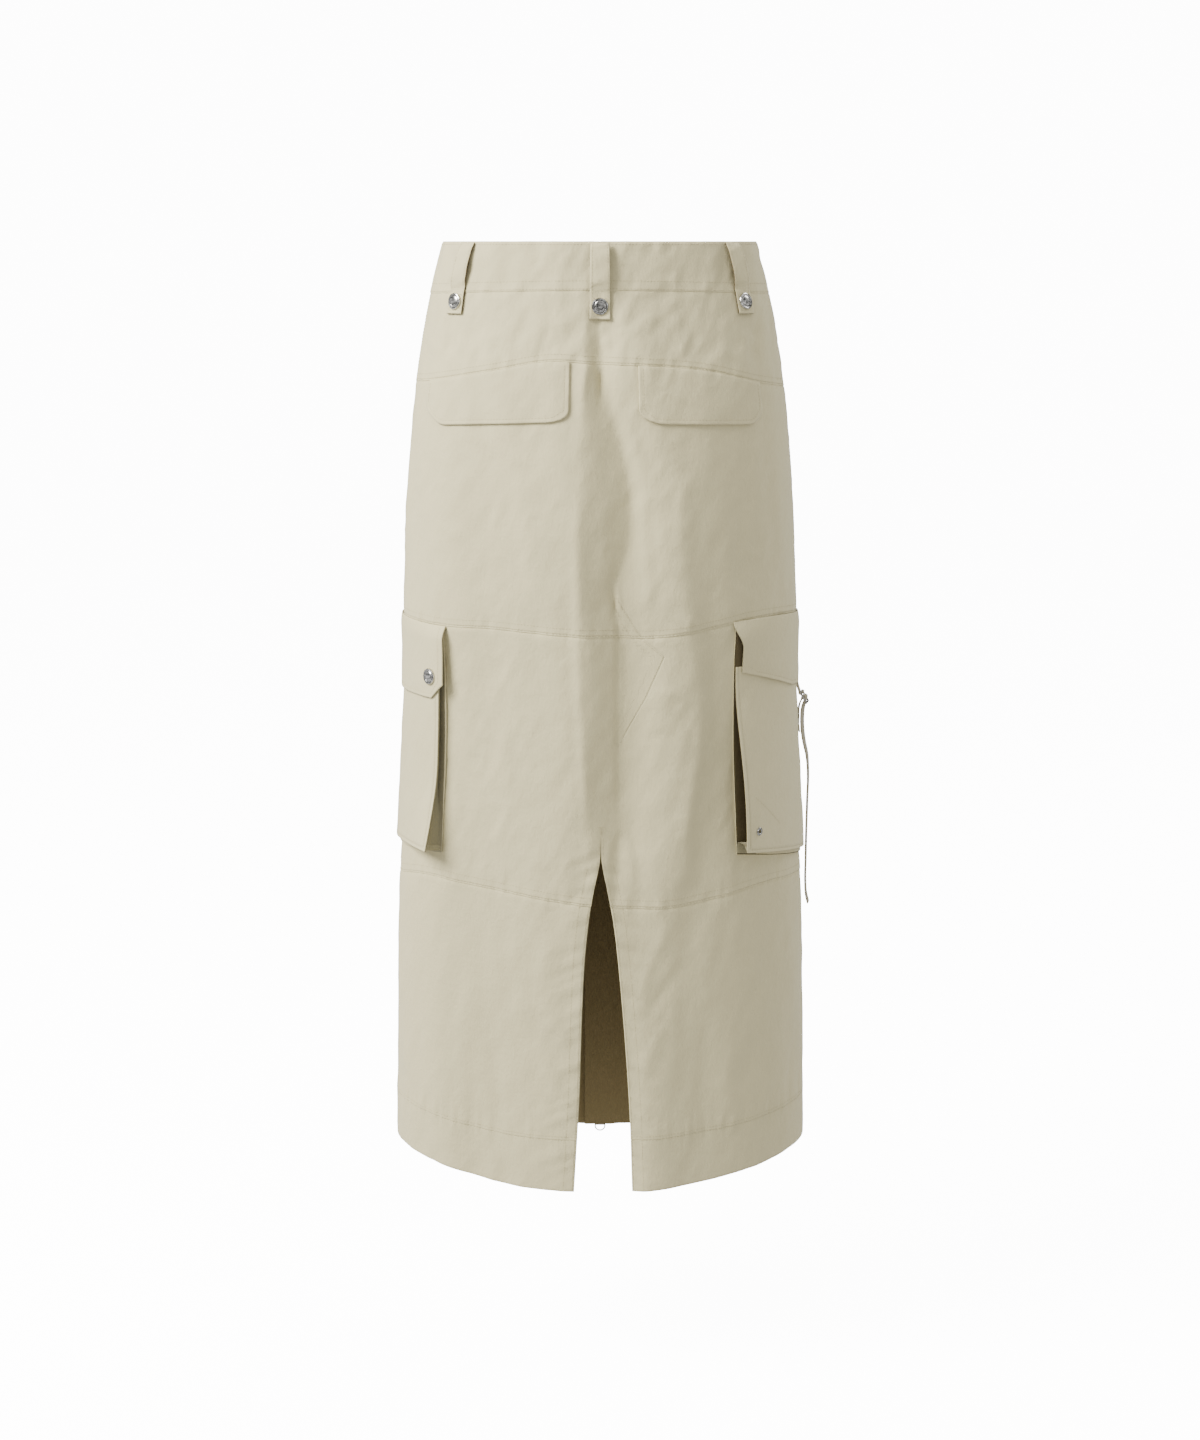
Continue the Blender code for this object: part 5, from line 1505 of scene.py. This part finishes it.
def make_slider(end):
    """Two plates joined by a post, with a bail that the ring hangs in."""
    front = seat(form, 180.0, SLIDER_DROPS[end] + SLIDER_LENGTH / 2)
    up = SLIDER_DROPS[end] + SLIDER_LENGTH / 2 - RING_DROPS[end]
    outward = 1 if end == "top" else -1
    plate = 0.0012
    middle, thick = (SLIDER_FACE + SLIDER_BACK) / 2, SLIDER_FACE - SLIDER_BACK - 2 * plate
    narrow = (Vector((0, -outward, 0)), (0.62, 1, 1), (0, 0, 0))
    parts = []
    for height in (SLIDER_FACE - plate / 2, SLIDER_BACK + plate / 2):
        where = front @ Matrix.Translation((0, 0, height))
        parts.append(added_box((SLIDER_WIDTH, SLIDER_LENGTH, plate), where, 0.0005, narrow))
    for turn in (-1, 1):
        where = front @ Matrix.Translation((turn * (SLIDER_WIDTH / 2 - 0.0006), outward * 0.0006, middle))
        parts.append(added_box((0.0009, SLIDER_LENGTH * 0.55, thick + 0.0006), where, 0.0003))
    where = front @ Matrix.Translation((0, outward * SLIDER_LENGTH * 0.36, middle))
    parts.append(added_box((0.0016, 0.0022, thick + 0.0008), where, 0.0004))
    eye = 2 * (RING_WIRE + RING_CLEARANCE)
    height = eye + BAIL_WALL
    foot = 0.0006  # how deep the bail stands in the plate
    narrow = (Vector((0, 0, 1)), (0.8, 0.62, 1), (0, 0, height / 2))
    bail = added_box((BAIL_WIDTH, eye + 2 * BAIL_WALL, height + foot), Matrix(), narrow=narrow)
    hole = added_box((0.02, eye, eye), Matrix.Translation((0, 0, -height / 2 - 0.0003 + foot + eye / 2)))
    cut(bail, hole)
    modify(bail, "BEVEL", width=0.00022, segments=2, limit_method="ANGLE")
    settle(bail, front @ Matrix.Translation((0, up, SLIDER_FACE + (height - foot) / 2)))
    parts.append(bail)
    slider = merge(parts, f"zip_slider_{end}_body")
    as_hard(slider, "nickel", "skirt", [f"zip_slider_{end}"])

    ring = add("torus", f"ring_{end}", major_segments=48, minor_segments=12, major_radius=RING_RADIUS,
               minor_radius=RING_WIRE)
    lift = SLIDER_FACE + RING_CLEARANCE + RING_WIRE
    settle(ring, front @ Matrix.Translation((0, up - RING_RADIUS, lift)))
    as_hard(ring, "nickel_rings", f"ring_{end}", [f"ring_pull_{end}"], degrees=60.0)


# Snaps and eyelet.


def snap_cap():
    """A cap modelled once: a flat foot, a rolled rim, a groove and a low dome inside it."""
    cap = add("cylinder", vertices=56, radius=SNAP_RADIUS, depth=0.0009, location=(0, 0, 0.00045))
    settle(cap)
    pick_faces(cap, lambda centre, normal: normal.z > 0.9)
    for inset, rise in SNAP_STEPS:
        bpy.ops.mesh.inset(thickness=inset, depth=0.0)
        bpy.ops.transform.translate(value=(0, 0, rise))
    leave_edit()
    return cap


def make_snaps():
    cap = snap_cap()
    left = Pocket("left")
    places = {}
    rows, last_drop = range(len(LOOP_LINE)), LOOP_LINE[-1][0]
    for name, (angle, higher, _) in LOOPS.items():
        surface = loop_surface(name)
        half = degrees_along(LOOP_WIDTH / 2, angle, 0.03)
        drop = LOOP_CAP_DROP - higher * LOOP_CAP_DROP / last_drop
        top = float(np.interp(drop, [float(loop_drop(k)) * (1 - higher / last_drop) for k in rows], rows))

        def on_loop(a, d):
            return surface((a - angle) / half, (top + (d - drop) / LOOP_ROW) / rows[-1])

        places[f"snap_{name}"] = seat(on_loop, angle, drop, 0.0001)
    for name, (angle, drop) in POCKET_SNAPS.items():
        places[f"snap_pocket_{name}"] = seat(left.flap, angle, drop, 0.0001)
    for k, (name, where) in enumerate(places.items()):
        piece = add_copy(cap, name + "_cap")
        settle(piece, where @ Matrix.Rotation(0.7 * k, 4, "Z"))
        as_hard(piece, "nickel", "skirt", [name], degrees=28.0)
    bpy.data.objects.remove(cap)

    middle = (EYELET_RADIUS + EYELET_HOLE) / 2
    eyelet = add("torus", "eyelet_ring", major_segments=36, minor_segments=12, major_radius=middle,
                 minor_radius=EYELET_RADIUS - middle)
    eyelet.scale = (1, 1, 0.75)
    settle(eyelet, seat(Pocket("right").face, *EYELET_PLACE, 0.0003))
    as_hard(eyelet, "nickel", "skirt", ["pocket_eyelet"], degrees=60.0)


# Sewing.

STITCH_LIFT = 0.00005
FROM_EDGE = 0.0014  # the first row's distance from a seam
SEAM_ROWS = [
    # seam, rows of stitches from it
    (yoke_seam, (-FROM_EDGE, -0.0062)), (knee_seam, (-FROM_EDGE, -0.0066)), (lower_seam, (-FROM_EDGE, -0.0074)),
]
VENT_GAP = (0.0075, 0.0078)  # how far from the centre the lower seam's stitches end, left and right
HEM_ROWS, VENT_ROWS, ZIP_ROWS = (0.0, 0.0032), (0.0016, 0.0105), (0.0020, 0.0085)
SIDE_ROWS = ((0.048, 0.335), (0.578, 0.85))  # from drop to drop
BACK_DEGREE, SIDE_DEGREE = 0.0032, 0.0021  # the length of one degree at the centre back and at the side
TACK_ROWS, TACK_PITCH = 7, 0.0011
POCKET_STITCHING = 0.0032


def normals_on(surface, angle, drop):
    one = surface(angle + 0.25, drop) - surface(angle - 0.25, drop)
    two = surface(angle, drop - 0.0008) - surface(angle, drop + 0.0008)
    normal = np.cross(one, two)
    return normal / np.linalg.norm(normal, axis=1, keepdims=True)


def stitch_places(points, normals, pitch):
    """Even places along a line of points: each with its middle, heading and normal."""
    lengths = np.concatenate([[0], np.cumsum(np.linalg.norm(np.diff(points, axis=0), axis=1))])
    count = max(int(lengths[-1] / pitch), 1)
    at = (np.arange(count) + 0.5) * lengths[-1] / count

    def read(values, where):
        return np.stack([np.interp(where, lengths, values[:, k]) for k in range(3)], 1)

    middle, normal = read(points, at), read(normals, at)
    heading = read(points, at + pitch * 0.3) - read(points, at - pitch * 0.3)
    heading /= np.linalg.norm(heading, axis=1, keepdims=True)
    normal -= heading * (normal * heading).sum(1, keepdims=True)
    normal /= np.linalg.norm(normal, axis=1, keepdims=True)
    return middle, heading, normal


class Sewing:
    """Collects rows of stitches, and makes one mesh of them from a single stitch."""

    def __init__(self, settings):
        self.pitch, self.width = settings.stitch_pitch, settings.thread_width
        self.rows = []

    def add(self, points, normals, pitch=None):
        """A row through these points, just off the cloth."""
        self.rows.append(stitch_places(points, normals, pitch or self.pitch))

    def line(self, surface, angles, drops):
        """A row through these places on a surface."""
        angles, drops = np.broadcast_arrays(np.asarray(angles, float), np.asarray(drops, float))
        normals = normals_on(surface, angles, drops)
        self.add(surface(angles, drops) + normals * STITCH_LIFT, normals)

    def run(self, surface, start, end, count):
        """A straight row between two places."""
        self.line(surface, np.linspace(start[0], end[0], count), np.linspace(start[1], end[1], count))

    def make(self, name):
        stitch = add("uv_sphere", segments=5, ring_count=4, radius=0.5)
        base = points_of(stitch)
        faces = [np.array(face.vertices) for face in stitch.data.polygons]
        bpy.data.objects.remove(stitch)
        size = np.array([self.width, self.width * 0.8, self.pitch * 0.82])
        middle, heading, normal = (np.concatenate([row[k] for row in self.rows]) for k in range(3))
        side = np.cross(heading, normal)
        local = base * size
        points = middle[:, None] + 0.0
        for k, direction in enumerate((side, normal, heading)):
            points = points + local[None, :, k : k + 1] * direction[:, None]
        polygons = [(face + k * len(base)).tolist() for k in range(len(middle)) for face in faces]
        mesh = bpy.data.meshes.new(name)
        mesh.from_pydata(points.reshape(-1, 3).tolist(), [], polygons)
        thread = bpy.data.objects.new(name, mesh)
        bpy.context.scene.collection.objects.link(thread)
        x, y, z = points_of(thread).T
        set_uv(thread, np.stack([x + y, z], 1))
        as_hard(thread, "thread", "skirt", degrees=60.0)


def make_body_sewing(settings):
    sewing = Sewing(settings)
    back = np.linspace(-89.6, 89.6, 700)
    fronts = [np.linspace(90.6, 177.6, 320), np.linspace(-177.6, -90.6, 320)]
    band = [(waist_seam, -0.0016), (waist_seam, -0.0085), (lambda a: 0 * a, 0.0028)]
    for line, off in band:
        for angles in [back, *fronts]:
            sewing.line(lambda angle, drop: skirt(angle, drop, BAND_OUT), angles, line(angles) + off)
    gap = angle_of(np.array(VENT_GAP), 0.59)
    for seam, offs in SEAM_ROWS:
        for off in offs:
            for angles in [back, *fronts]:
                parts = [angles]
                if seam is lower_seam:
                    parts = angles[angles < -gap[0]], angles[angles > gap[1]]
                for part in parts:
                    if len(part):
                        sewing.line(skirt, part, seam(part) + off)
    sewing.make("stitches_seams")

    sewing = Sewing(settings)
    for off in HEM_ROWS:
        left, right = (float(angle_of(edge(np.array(0.825)), 0.825)) for edge in (vent_left, vent_right))
        for angles in (np.linspace(-89.6, left - 0.4, 320), np.linspace(right + 0.4, 89.6, 320), *fronts):
            sewing.line(skirt, angles, hem_turn(angles) + off)
    drops = np.linspace(SLIT_TOP + 0.004, HEM_BACK - 0.002, 420)
    for off in VENT_ROWS:
        for edge, turn in ((vent_left, -1), (vent_right, 1)):
            run = drops[drops > SLIT_TOP + off * 3]
            sewing.line(skirt, angle_of(edge(run) + turn * off, run), run)
    for start, end in zip(DART, DART[1:]):
        rise, run = end[1] - start[1], (end[0] - start[0]) * BACK_DEGREE
        side = FROM_EDGE / math.hypot(rise, run)
        move = (rise * side / BACK_DEGREE, -run * side)
        sewing.run(skirt, (start[0] - move[0], start[1] - move[1]), (end[0] - move[0], end[1] - move[1]), 30)
    for k in range(TACK_ROWS):
        drop = SLIT_TOP + 0.0005 - k * TACK_PITCH
        width = 0.4 if k < TACK_ROWS - 1 else 0.9
        sewing.run(skirt, (0.3 - width, drop), (0.3 + width, drop), 6)
    for turn in HANDS.values():
        for off in ZIP_ROWS:
            run = np.linspace(0.047, HEM_FRONT - 0.003, 700)
            sewing.line(skirt, turn * (180 - angle_of(ZIP_EDGE + off, run)), run)
    for turn in HANDS.values():
        for start, end in SIDE_ROWS:
            sewing.line(skirt, turn * (90 - FROM_EDGE / SIDE_DEGREE), np.linspace(start, end, 260))
    sewing.make("stitches_hem_and_vent")


def make_piece_sewing(settings):
    sewing = Sewing(settings)
    for hand in BACK_FLAPS:
        sew_flap(sewing, *back_flap_surface(hand), yoke_seam)
    for hand in POCKETS:
        pocket, inset = Pocket(hand), POCKET_STITCHING
        sew_flap(sewing, pocket.flap, pocket.lower, *pocket.flap_ends(), knee_seam)
        for edge_angle, turn in ((pocket.back, 1), (pocket.front, -1)):
            step = math.copysign(1.0, pocket.front - pocket.back) * turn
            inner = edge_angle + step * degrees_along(inset, edge_angle, 0.46)
            stop = float(pocket.bottom(np.array(inner))) - inset
            sewing.run(pocket.face, (inner, 0.400), (inner, stop), 120)
        corner = math.copysign(1.6, pocket.front - pocket.back)
        angles = np.linspace(pocket.back + corner, pocket.front - corner, 160)
        sewing.line(pocket.face, angles, pocket.bottom(angles) - inset)
    sewing.run(Pocket("right").face, (46.1, 0.4982), (59.0, 0.5301), 40)
    for name in LOOPS:
        surface = loop_surface(name)
        for side in (-0.76, 0.76):
            share = np.linspace(0.03, 0.965, 120)
            add_loop_row(sewing, surface, np.full(120, side), share)
        for share in (0.80, 0.965):
            sides = np.linspace(-0.76, 0.76, 30)
            add_loop_row(sewing, surface, sides, np.full(30, share))
    for name, line in strap_lines().items():
        path = strap_path(line)[0]
        across, along = np.linspace(0.12, 0.88, 20), np.linspace(0.016, 0.05, 20)
        sides, shares = ((0.15, 0.85), (0.03, 0.016)) if name == "strap" else ((), (0.06, 0.2))
        rows = [(np.full(20, side), along) for side in sides]
        rows += [(across, np.full(20, share)) for share in shares]
        for sides, shares in rows:
            spot, out = path(shares)
            xz = spot + out * (STRAP_THICKNESS / 2 + 0.0002)
            points = np.stack([xz[:, 0], (sides - 0.5) * STRAP_WIDTH, xz[:, 1]], 1)
            normals = np.stack([out[:, 0], 0 * sides, out[:, 1]], 1)
            sewing.add(points, normals, 0.0022)
    sewing.make("stitches_pieces")


def add_loop_row(sewing, surface, sides, shares):
    one = surface(sides + 0.05, shares) - surface(sides - 0.05, shares)
    two = surface(sides, shares - 0.01) - surface(sides, shares + 0.01)
    normals = np.cross(one, two)
    normals /= np.linalg.norm(normals, axis=1, keepdims=True)
    sewing.add(surface(sides, shares) + normals * STITCH_LIFT, normals)


def sew_flap(sewing, surface, lower, first, last, upper):
    """Topstitching down one side of a flap, along its lower edge and up the other side."""
    in_degrees = degrees_along(FLAP_STITCHING, (first + last) / 2, 0.13)
    angles = np.linspace(first + in_degrees, last - in_degrees, 300)
    bottom = lower(angles) - FLAP_STITCHING
    reach = np.minimum(angles - first, last - angles) / in_degrees
    bottom -= FLAP_STITCHING * 0.8 * (1 - smooth((reach - 1) / 2.5))
    tops = [upper(np.array(a)) + 0.002 for a in (angles[0], angles[-1])]
    left = np.linspace(tops[0], bottom[0], 60)
    right = np.linspace(bottom[-1], tops[1], 60)
    angles = np.concatenate([np.full(60, angles[0]), angles, np.full(60, angles[-1])])

    def at_stitching(angle, drop):
        return surface(angle, drop, np.full(np.shape(angle), FLAP_STITCHING))

    sewing.line(at_stitching, angles, np.concatenate([left, bottom, right]))


# Stage.

CAMERA_DISTANCE, CAMERA_TILT, SENSOR, FOCAL_PIXELS, FRAME_PIXELS = 2.2, 11.445, 36.0, 2366, 1200


def make_stage(settings):
    for left_over in [obj for obj in bpy.data.objects if obj.name in ("Cube", "Light", "Camera")]:
        bpy.data.objects.remove(left_over)
    studio = add("circle", "studio_floor", vertices=96, radius=9.0, fill_type="NGON",
                 location=(0, 0, settings.floor_height))
    settle(studio)
    only(studio)
    bpy.ops.object.mode_set(mode="EDIT")
    bpy.ops.mesh.select_mode(type="EDGE")
    bpy.ops.mesh.select_all(action="SELECT")
    bpy.ops.mesh.region_to_loop()
    bpy.ops.mesh.extrude_edges_move(TRANSFORM_OT_translate={"value": (0, 0, 10)})
    bpy.ops.mesh.select_all(action="SELECT")
    bpy.ops.mesh.normals_make_consistent(inside=True)
    bpy.ops.object.mode_set(mode="OBJECT")
    modify(studio, "BEVEL", width=2.5, segments=12, limit_method="ANGLE", angle_limit=math.radians(50))
    shade(studio, 60.0)
    studio.data.materials.clear()
    studio.data.materials.append(MATERIALS["studio_paper"])
    studio.visible_diffuse = studio.visible_glossy = studio.visible_shadow = False

    # Seen only in reflections: a glowing sphere of bands, a painted reflection for the metal.
    drape = add("uv_sphere", "studio_drape", segments=48, ring_count=24, radius=7.5)
    drape.data.materials.append(MATERIALS["reflection_glow_bands"])
    shade(drape, 180.0)
    drape.visible_camera = drape.visible_diffuse = drape.visible_shadow = drape.visible_transmission = False

    world = bpy.data.worlds.new("studio")
    bpy.context.scene.world = world
    world.use_nodes = True
    sky = world.node_tree.nodes["Background"].inputs
    sky["Color"].default_value = (1.0, 0.995, 0.98, 1)
    sky["Strength"].default_value = settings.sky

    lamps = [
        # name, place, size, power, colour
        ("key", (-2.45, -1.22, 1.8), 1.6, settings.key_power, (1.0, 0.985, 0.95)),
        ("fill", (2.4, -2.8, 0.4), 2.4, settings.fill_power, (1.0, 1.0, 1.0)),
        ("rim", (2.8, 1.2, 2.2), 1.6, settings.rim_power, (1.0, 1.0, 1.0)),
    ]
    for name, place, size, power, colour in lamps:
        bpy.ops.object.light_add(type="AREA", location=place)
        lamp = bpy.context.object
        lamp.name = name
        lamp.data.size = size
        lamp.data.energy = power
        lamp.data.color = colour
        lamp.visible_camera = False
        heading = Vector((0, 0, -0.4)) - Vector(place)
        lamp.rotation_euler = heading.to_track_quat("-Z", "Y").to_euler()

    turn = (math.radians(90 - CAMERA_TILT), 0, 0)
    bpy.ops.object.camera_add(location=(0, -CAMERA_DISTANCE, WAIST_TOP), rotation=turn)
    camera = bpy.context.object
    camera.data.sensor_fit = "HORIZONTAL"
    camera.data.sensor_width = SENSOR
    camera.data.lens = SENSOR * FOCAL_PIXELS / FRAME_PIXELS
    bpy.context.scene.camera = camera


# The add-on: its values, operators and panel.


class SkirtCloth(bpy.types.PropertyGroup):
    """Sizes of the cloth's relief and of its sewing."""

    creases: bpy.props.FloatProperty(
        name="Creases", description="Strength of the hand-laid creases", default=1.6
    )
    crumple: bpy.props.FloatProperty(name="Crumple", description="Strength of the small dents", default=1.0)
    pucker: bpy.props.FloatProperty(
        name="Pucker", description="Strength of the ripples at seams", default=1.0
    )
    stitch_pitch: bpy.props.FloatProperty(
        name="Stitch pitch", description="Length of one stitch with its gap", default=0.0030, unit="LENGTH"
    )
    thread_width: bpy.props.FloatProperty(
        name="Thread width", description="Width of the sewing thread", default=0.00055, unit="LENGTH"
    )


class SkirtColours(bpy.types.PropertyGroup):
    """Base colours of the skirt's finishes."""

    cloth: bpy.props.FloatVectorProperty(
        name="Cloth", description="Outer side of the cloth", subtype="COLOR", default=(0.58, 0.52, 0.305)
    )
    # Partly the darker wrong side of the cloth, partly painted shade for the shaded inside.
    inside: bpy.props.FloatVectorProperty(
        name="Inside", description="Inner side of the cloth", subtype="COLOR", default=(0.27, 0.205, 0.09)
    )
    # Partly the webbing's own darker dye, partly painted shade for a strap that hangs in shade.
    webbing: bpy.props.FloatVectorProperty(
        name="Webbing", description="Strap and zip tape", subtype="COLOR", default=(0.30, 0.265, 0.165)
    )
    thread: bpy.props.FloatVectorProperty(
        name="Thread", description="Sewing thread", subtype="COLOR", default=(0.53, 0.475, 0.275)
    )
    metal: bpy.props.FloatVectorProperty(
        name="Metal", description="Snaps, sliders and rings", subtype="COLOR",
        default=tuple(FINISHES["nickel"]["base_color"][:3]),
    )


class SkirtStage(bpy.types.PropertyGroup):
    """Studio light and floor."""

    floor_height: bpy.props.FloatProperty(
        name="Floor height", description="Height of the studio floor", default=-1.05, unit="LENGTH"
    )
    paper: bpy.props.FloatProperty(name="Paper", description="Brightness of the floor and wall", default=13.0)
    drape: bpy.props.FloatProperty(
        name="Drape", description="Brightness of what the metal mirrors", default=1.1
    )
    sky: bpy.props.FloatProperty(name="Sky", description="Strength of the light all round", default=0.86)
    key_power: bpy.props.FloatProperty(
        name="Key lamp", description="Power of the lamp on the left", default=318.0, subtype="POWER"
    )
    fill_power: bpy.props.FloatProperty(
        name="Fill lamp", description="Power of the lamp on the right", default=6.0, subtype="POWER"
    )
    rim_power: bpy.props.FloatProperty(
        name="Rim lamp", description="Power of the lamp behind", default=55.0, subtype="POWER"
    )


class Step:
    """What every operator shares."""

    bl_options = {"REGISTER", "UNDO"}

    def run(self, *makers):
        """Makes pieces, which needs the finishes."""
        if not MATERIALS:
            raise RuntimeError("make the finishes first")
        for maker in makers:
            maker()
        return {"FINISHED"}


class SKIRT_OT_make_materials(Step, bpy.types.Operator):
    """Makes the finishes and sets the relief of the cloth"""

    bl_idname = "skirt.make_materials"
    bl_label = "Finishes"

    def execute(self, context):
        make_materials(context.scene.skirt_colours, context.scene.skirt_stage)
        Skirt.creasing = Creasing(context.scene.skirt_cloth)
        return {"FINISHED"}


class SKIRT_OT_make_stage(Step, bpy.types.Operator):
    """Makes the studio floor, lamps and camera"""

    bl_idname = "skirt.make_stage"
    bl_label = "Stage"

    def execute(self, context):
        return self.run(lambda: make_stage(context.scene.skirt_stage))


class SKIRT_OT_make_back(Step, bpy.types.Operator):
    """Makes the back panels with the open vent"""

    bl_idname = "skirt.make_back"
    bl_label = "Back panels"

    def execute(self, context):
        return self.run(make_back)


class SKIRT_OT_make_front(Step, bpy.types.Operator):
    """Makes the front panels on both sides of the zip"""

    bl_idname = "skirt.make_front"
    bl_label = "Front panels"

    def execute(self, context):
        return self.run(make_front)


class SKIRT_OT_make_waistband(Step, bpy.types.Operator):
    """Makes the two halves of the waistband"""

    bl_idname = "skirt.make_waistband"
    bl_label = "Waistband"

    def execute(self, context):
        return self.run(make_waistband)


class SKIRT_OT_make_loops(Step, bpy.types.Operator):
    """Makes the belt loops"""

    bl_idname = "skirt.make_loops"
    bl_label = "Belt loops"

    def execute(self, context):
        return self.run(make_loops)


class SKIRT_OT_make_flaps(Step, bpy.types.Operator):
    """Makes the welt flaps under the yoke"""

    bl_idname = "skirt.make_flaps"
    bl_label = "Back flaps"

    def execute(self, context):
        return self.run(make_flaps)


class SKIRT_OT_make_pockets(Step, bpy.types.Operator):
    """Makes both cargo pockets"""

    bl_idname = "skirt.make_pockets"
    bl_label = "Cargo pockets"

    def execute(self, context):
        return self.run(lambda: make_pocket("left"), lambda: make_pocket("right"))


class SKIRT_OT_make_strap(Step, bpy.types.Operator):
    """Makes the webbing strap, its tab and its slider"""

    bl_idname = "skirt.make_strap"
    bl_label = "Strap"

    def execute(self, context):
        return self.run(make_strap)


class SKIRT_OT_make_zip(Step, bpy.types.Operator):
    """Makes the zip: tapes, teeth, guard, sliders and rings"""

    bl_idname = "skirt.make_zip"
    bl_label = "Zip"

    def execute(self, context):
        sliders = (lambda: make_slider("top"), lambda: make_slider("bottom"))
        return self.run(make_tapes, make_guard, make_teeth, *sliders)


class SKIRT_OT_make_snaps(Step, bpy.types.Operator):
    """Makes the snap caps and the eyelet"""

    bl_idname = "skirt.make_snaps"
    bl_label = "Snaps"

    def execute(self, context):
        return self.run(make_snaps)


class SKIRT_OT_make_sewing(Step, bpy.types.Operator):
    """Makes the rows of stitches"""

    bl_idname = "skirt.make_sewing"
    bl_label = "Sewing"

    def execute(self, context):
        cloth = context.scene.skirt_cloth
        return self.run(lambda: make_body_sewing(cloth), lambda: make_piece_sewing(cloth))


STEPS = [
    SKIRT_OT_make_materials, SKIRT_OT_make_stage, SKIRT_OT_make_back, SKIRT_OT_make_front,
    SKIRT_OT_make_waistband, SKIRT_OT_make_loops, SKIRT_OT_make_flaps, SKIRT_OT_make_pockets,
    SKIRT_OT_make_strap, SKIRT_OT_make_zip, SKIRT_OT_make_snaps, SKIRT_OT_make_sewing,
]
GROUPS = {"skirt_cloth": SkirtCloth, "skirt_colours": SkirtColours, "skirt_stage": SkirtStage}


class SKIRT_PT_panel(bpy.types.Panel):
    """Lists the skirt's values and steps"""

    bl_idname = "SKIRT_PT_panel"
    bl_label = "Cargo skirt"
    bl_space_type = "VIEW_3D"
    bl_region_type = "UI"
    bl_category = "Skirt"

    def draw(self, context):
        layout = self.layout
        for name, group in GROUPS.items():
            box = layout.box()
            for key in group.__annotations__:
                box.prop(getattr(context.scene, name), key)
        for step in STEPS:
            layout.operator(step.bl_idname)


def register():
    for cls in [*GROUPS.values(), *STEPS, SKIRT_PT_panel]:
        bpy.utils.register_class(cls)
    for name, group in GROUPS.items():
        setattr(bpy.types.Scene, name, bpy.props.PointerProperty(type=group))


def unregister():
    for name in GROUPS:
        delattr(bpy.types.Scene, name)
    for cls in reversed([*GROUPS.values(), *STEPS, SKIRT_PT_panel]):
        bpy.utils.unregister_class(cls)


def main():
    register()
    for step in STEPS:
        group, name = step.bl_idname.split(".")
        getattr(getattr(bpy.ops, group), name)()
    bpy.context.view_layer.update()


if __name__ == "__main__":
    main()
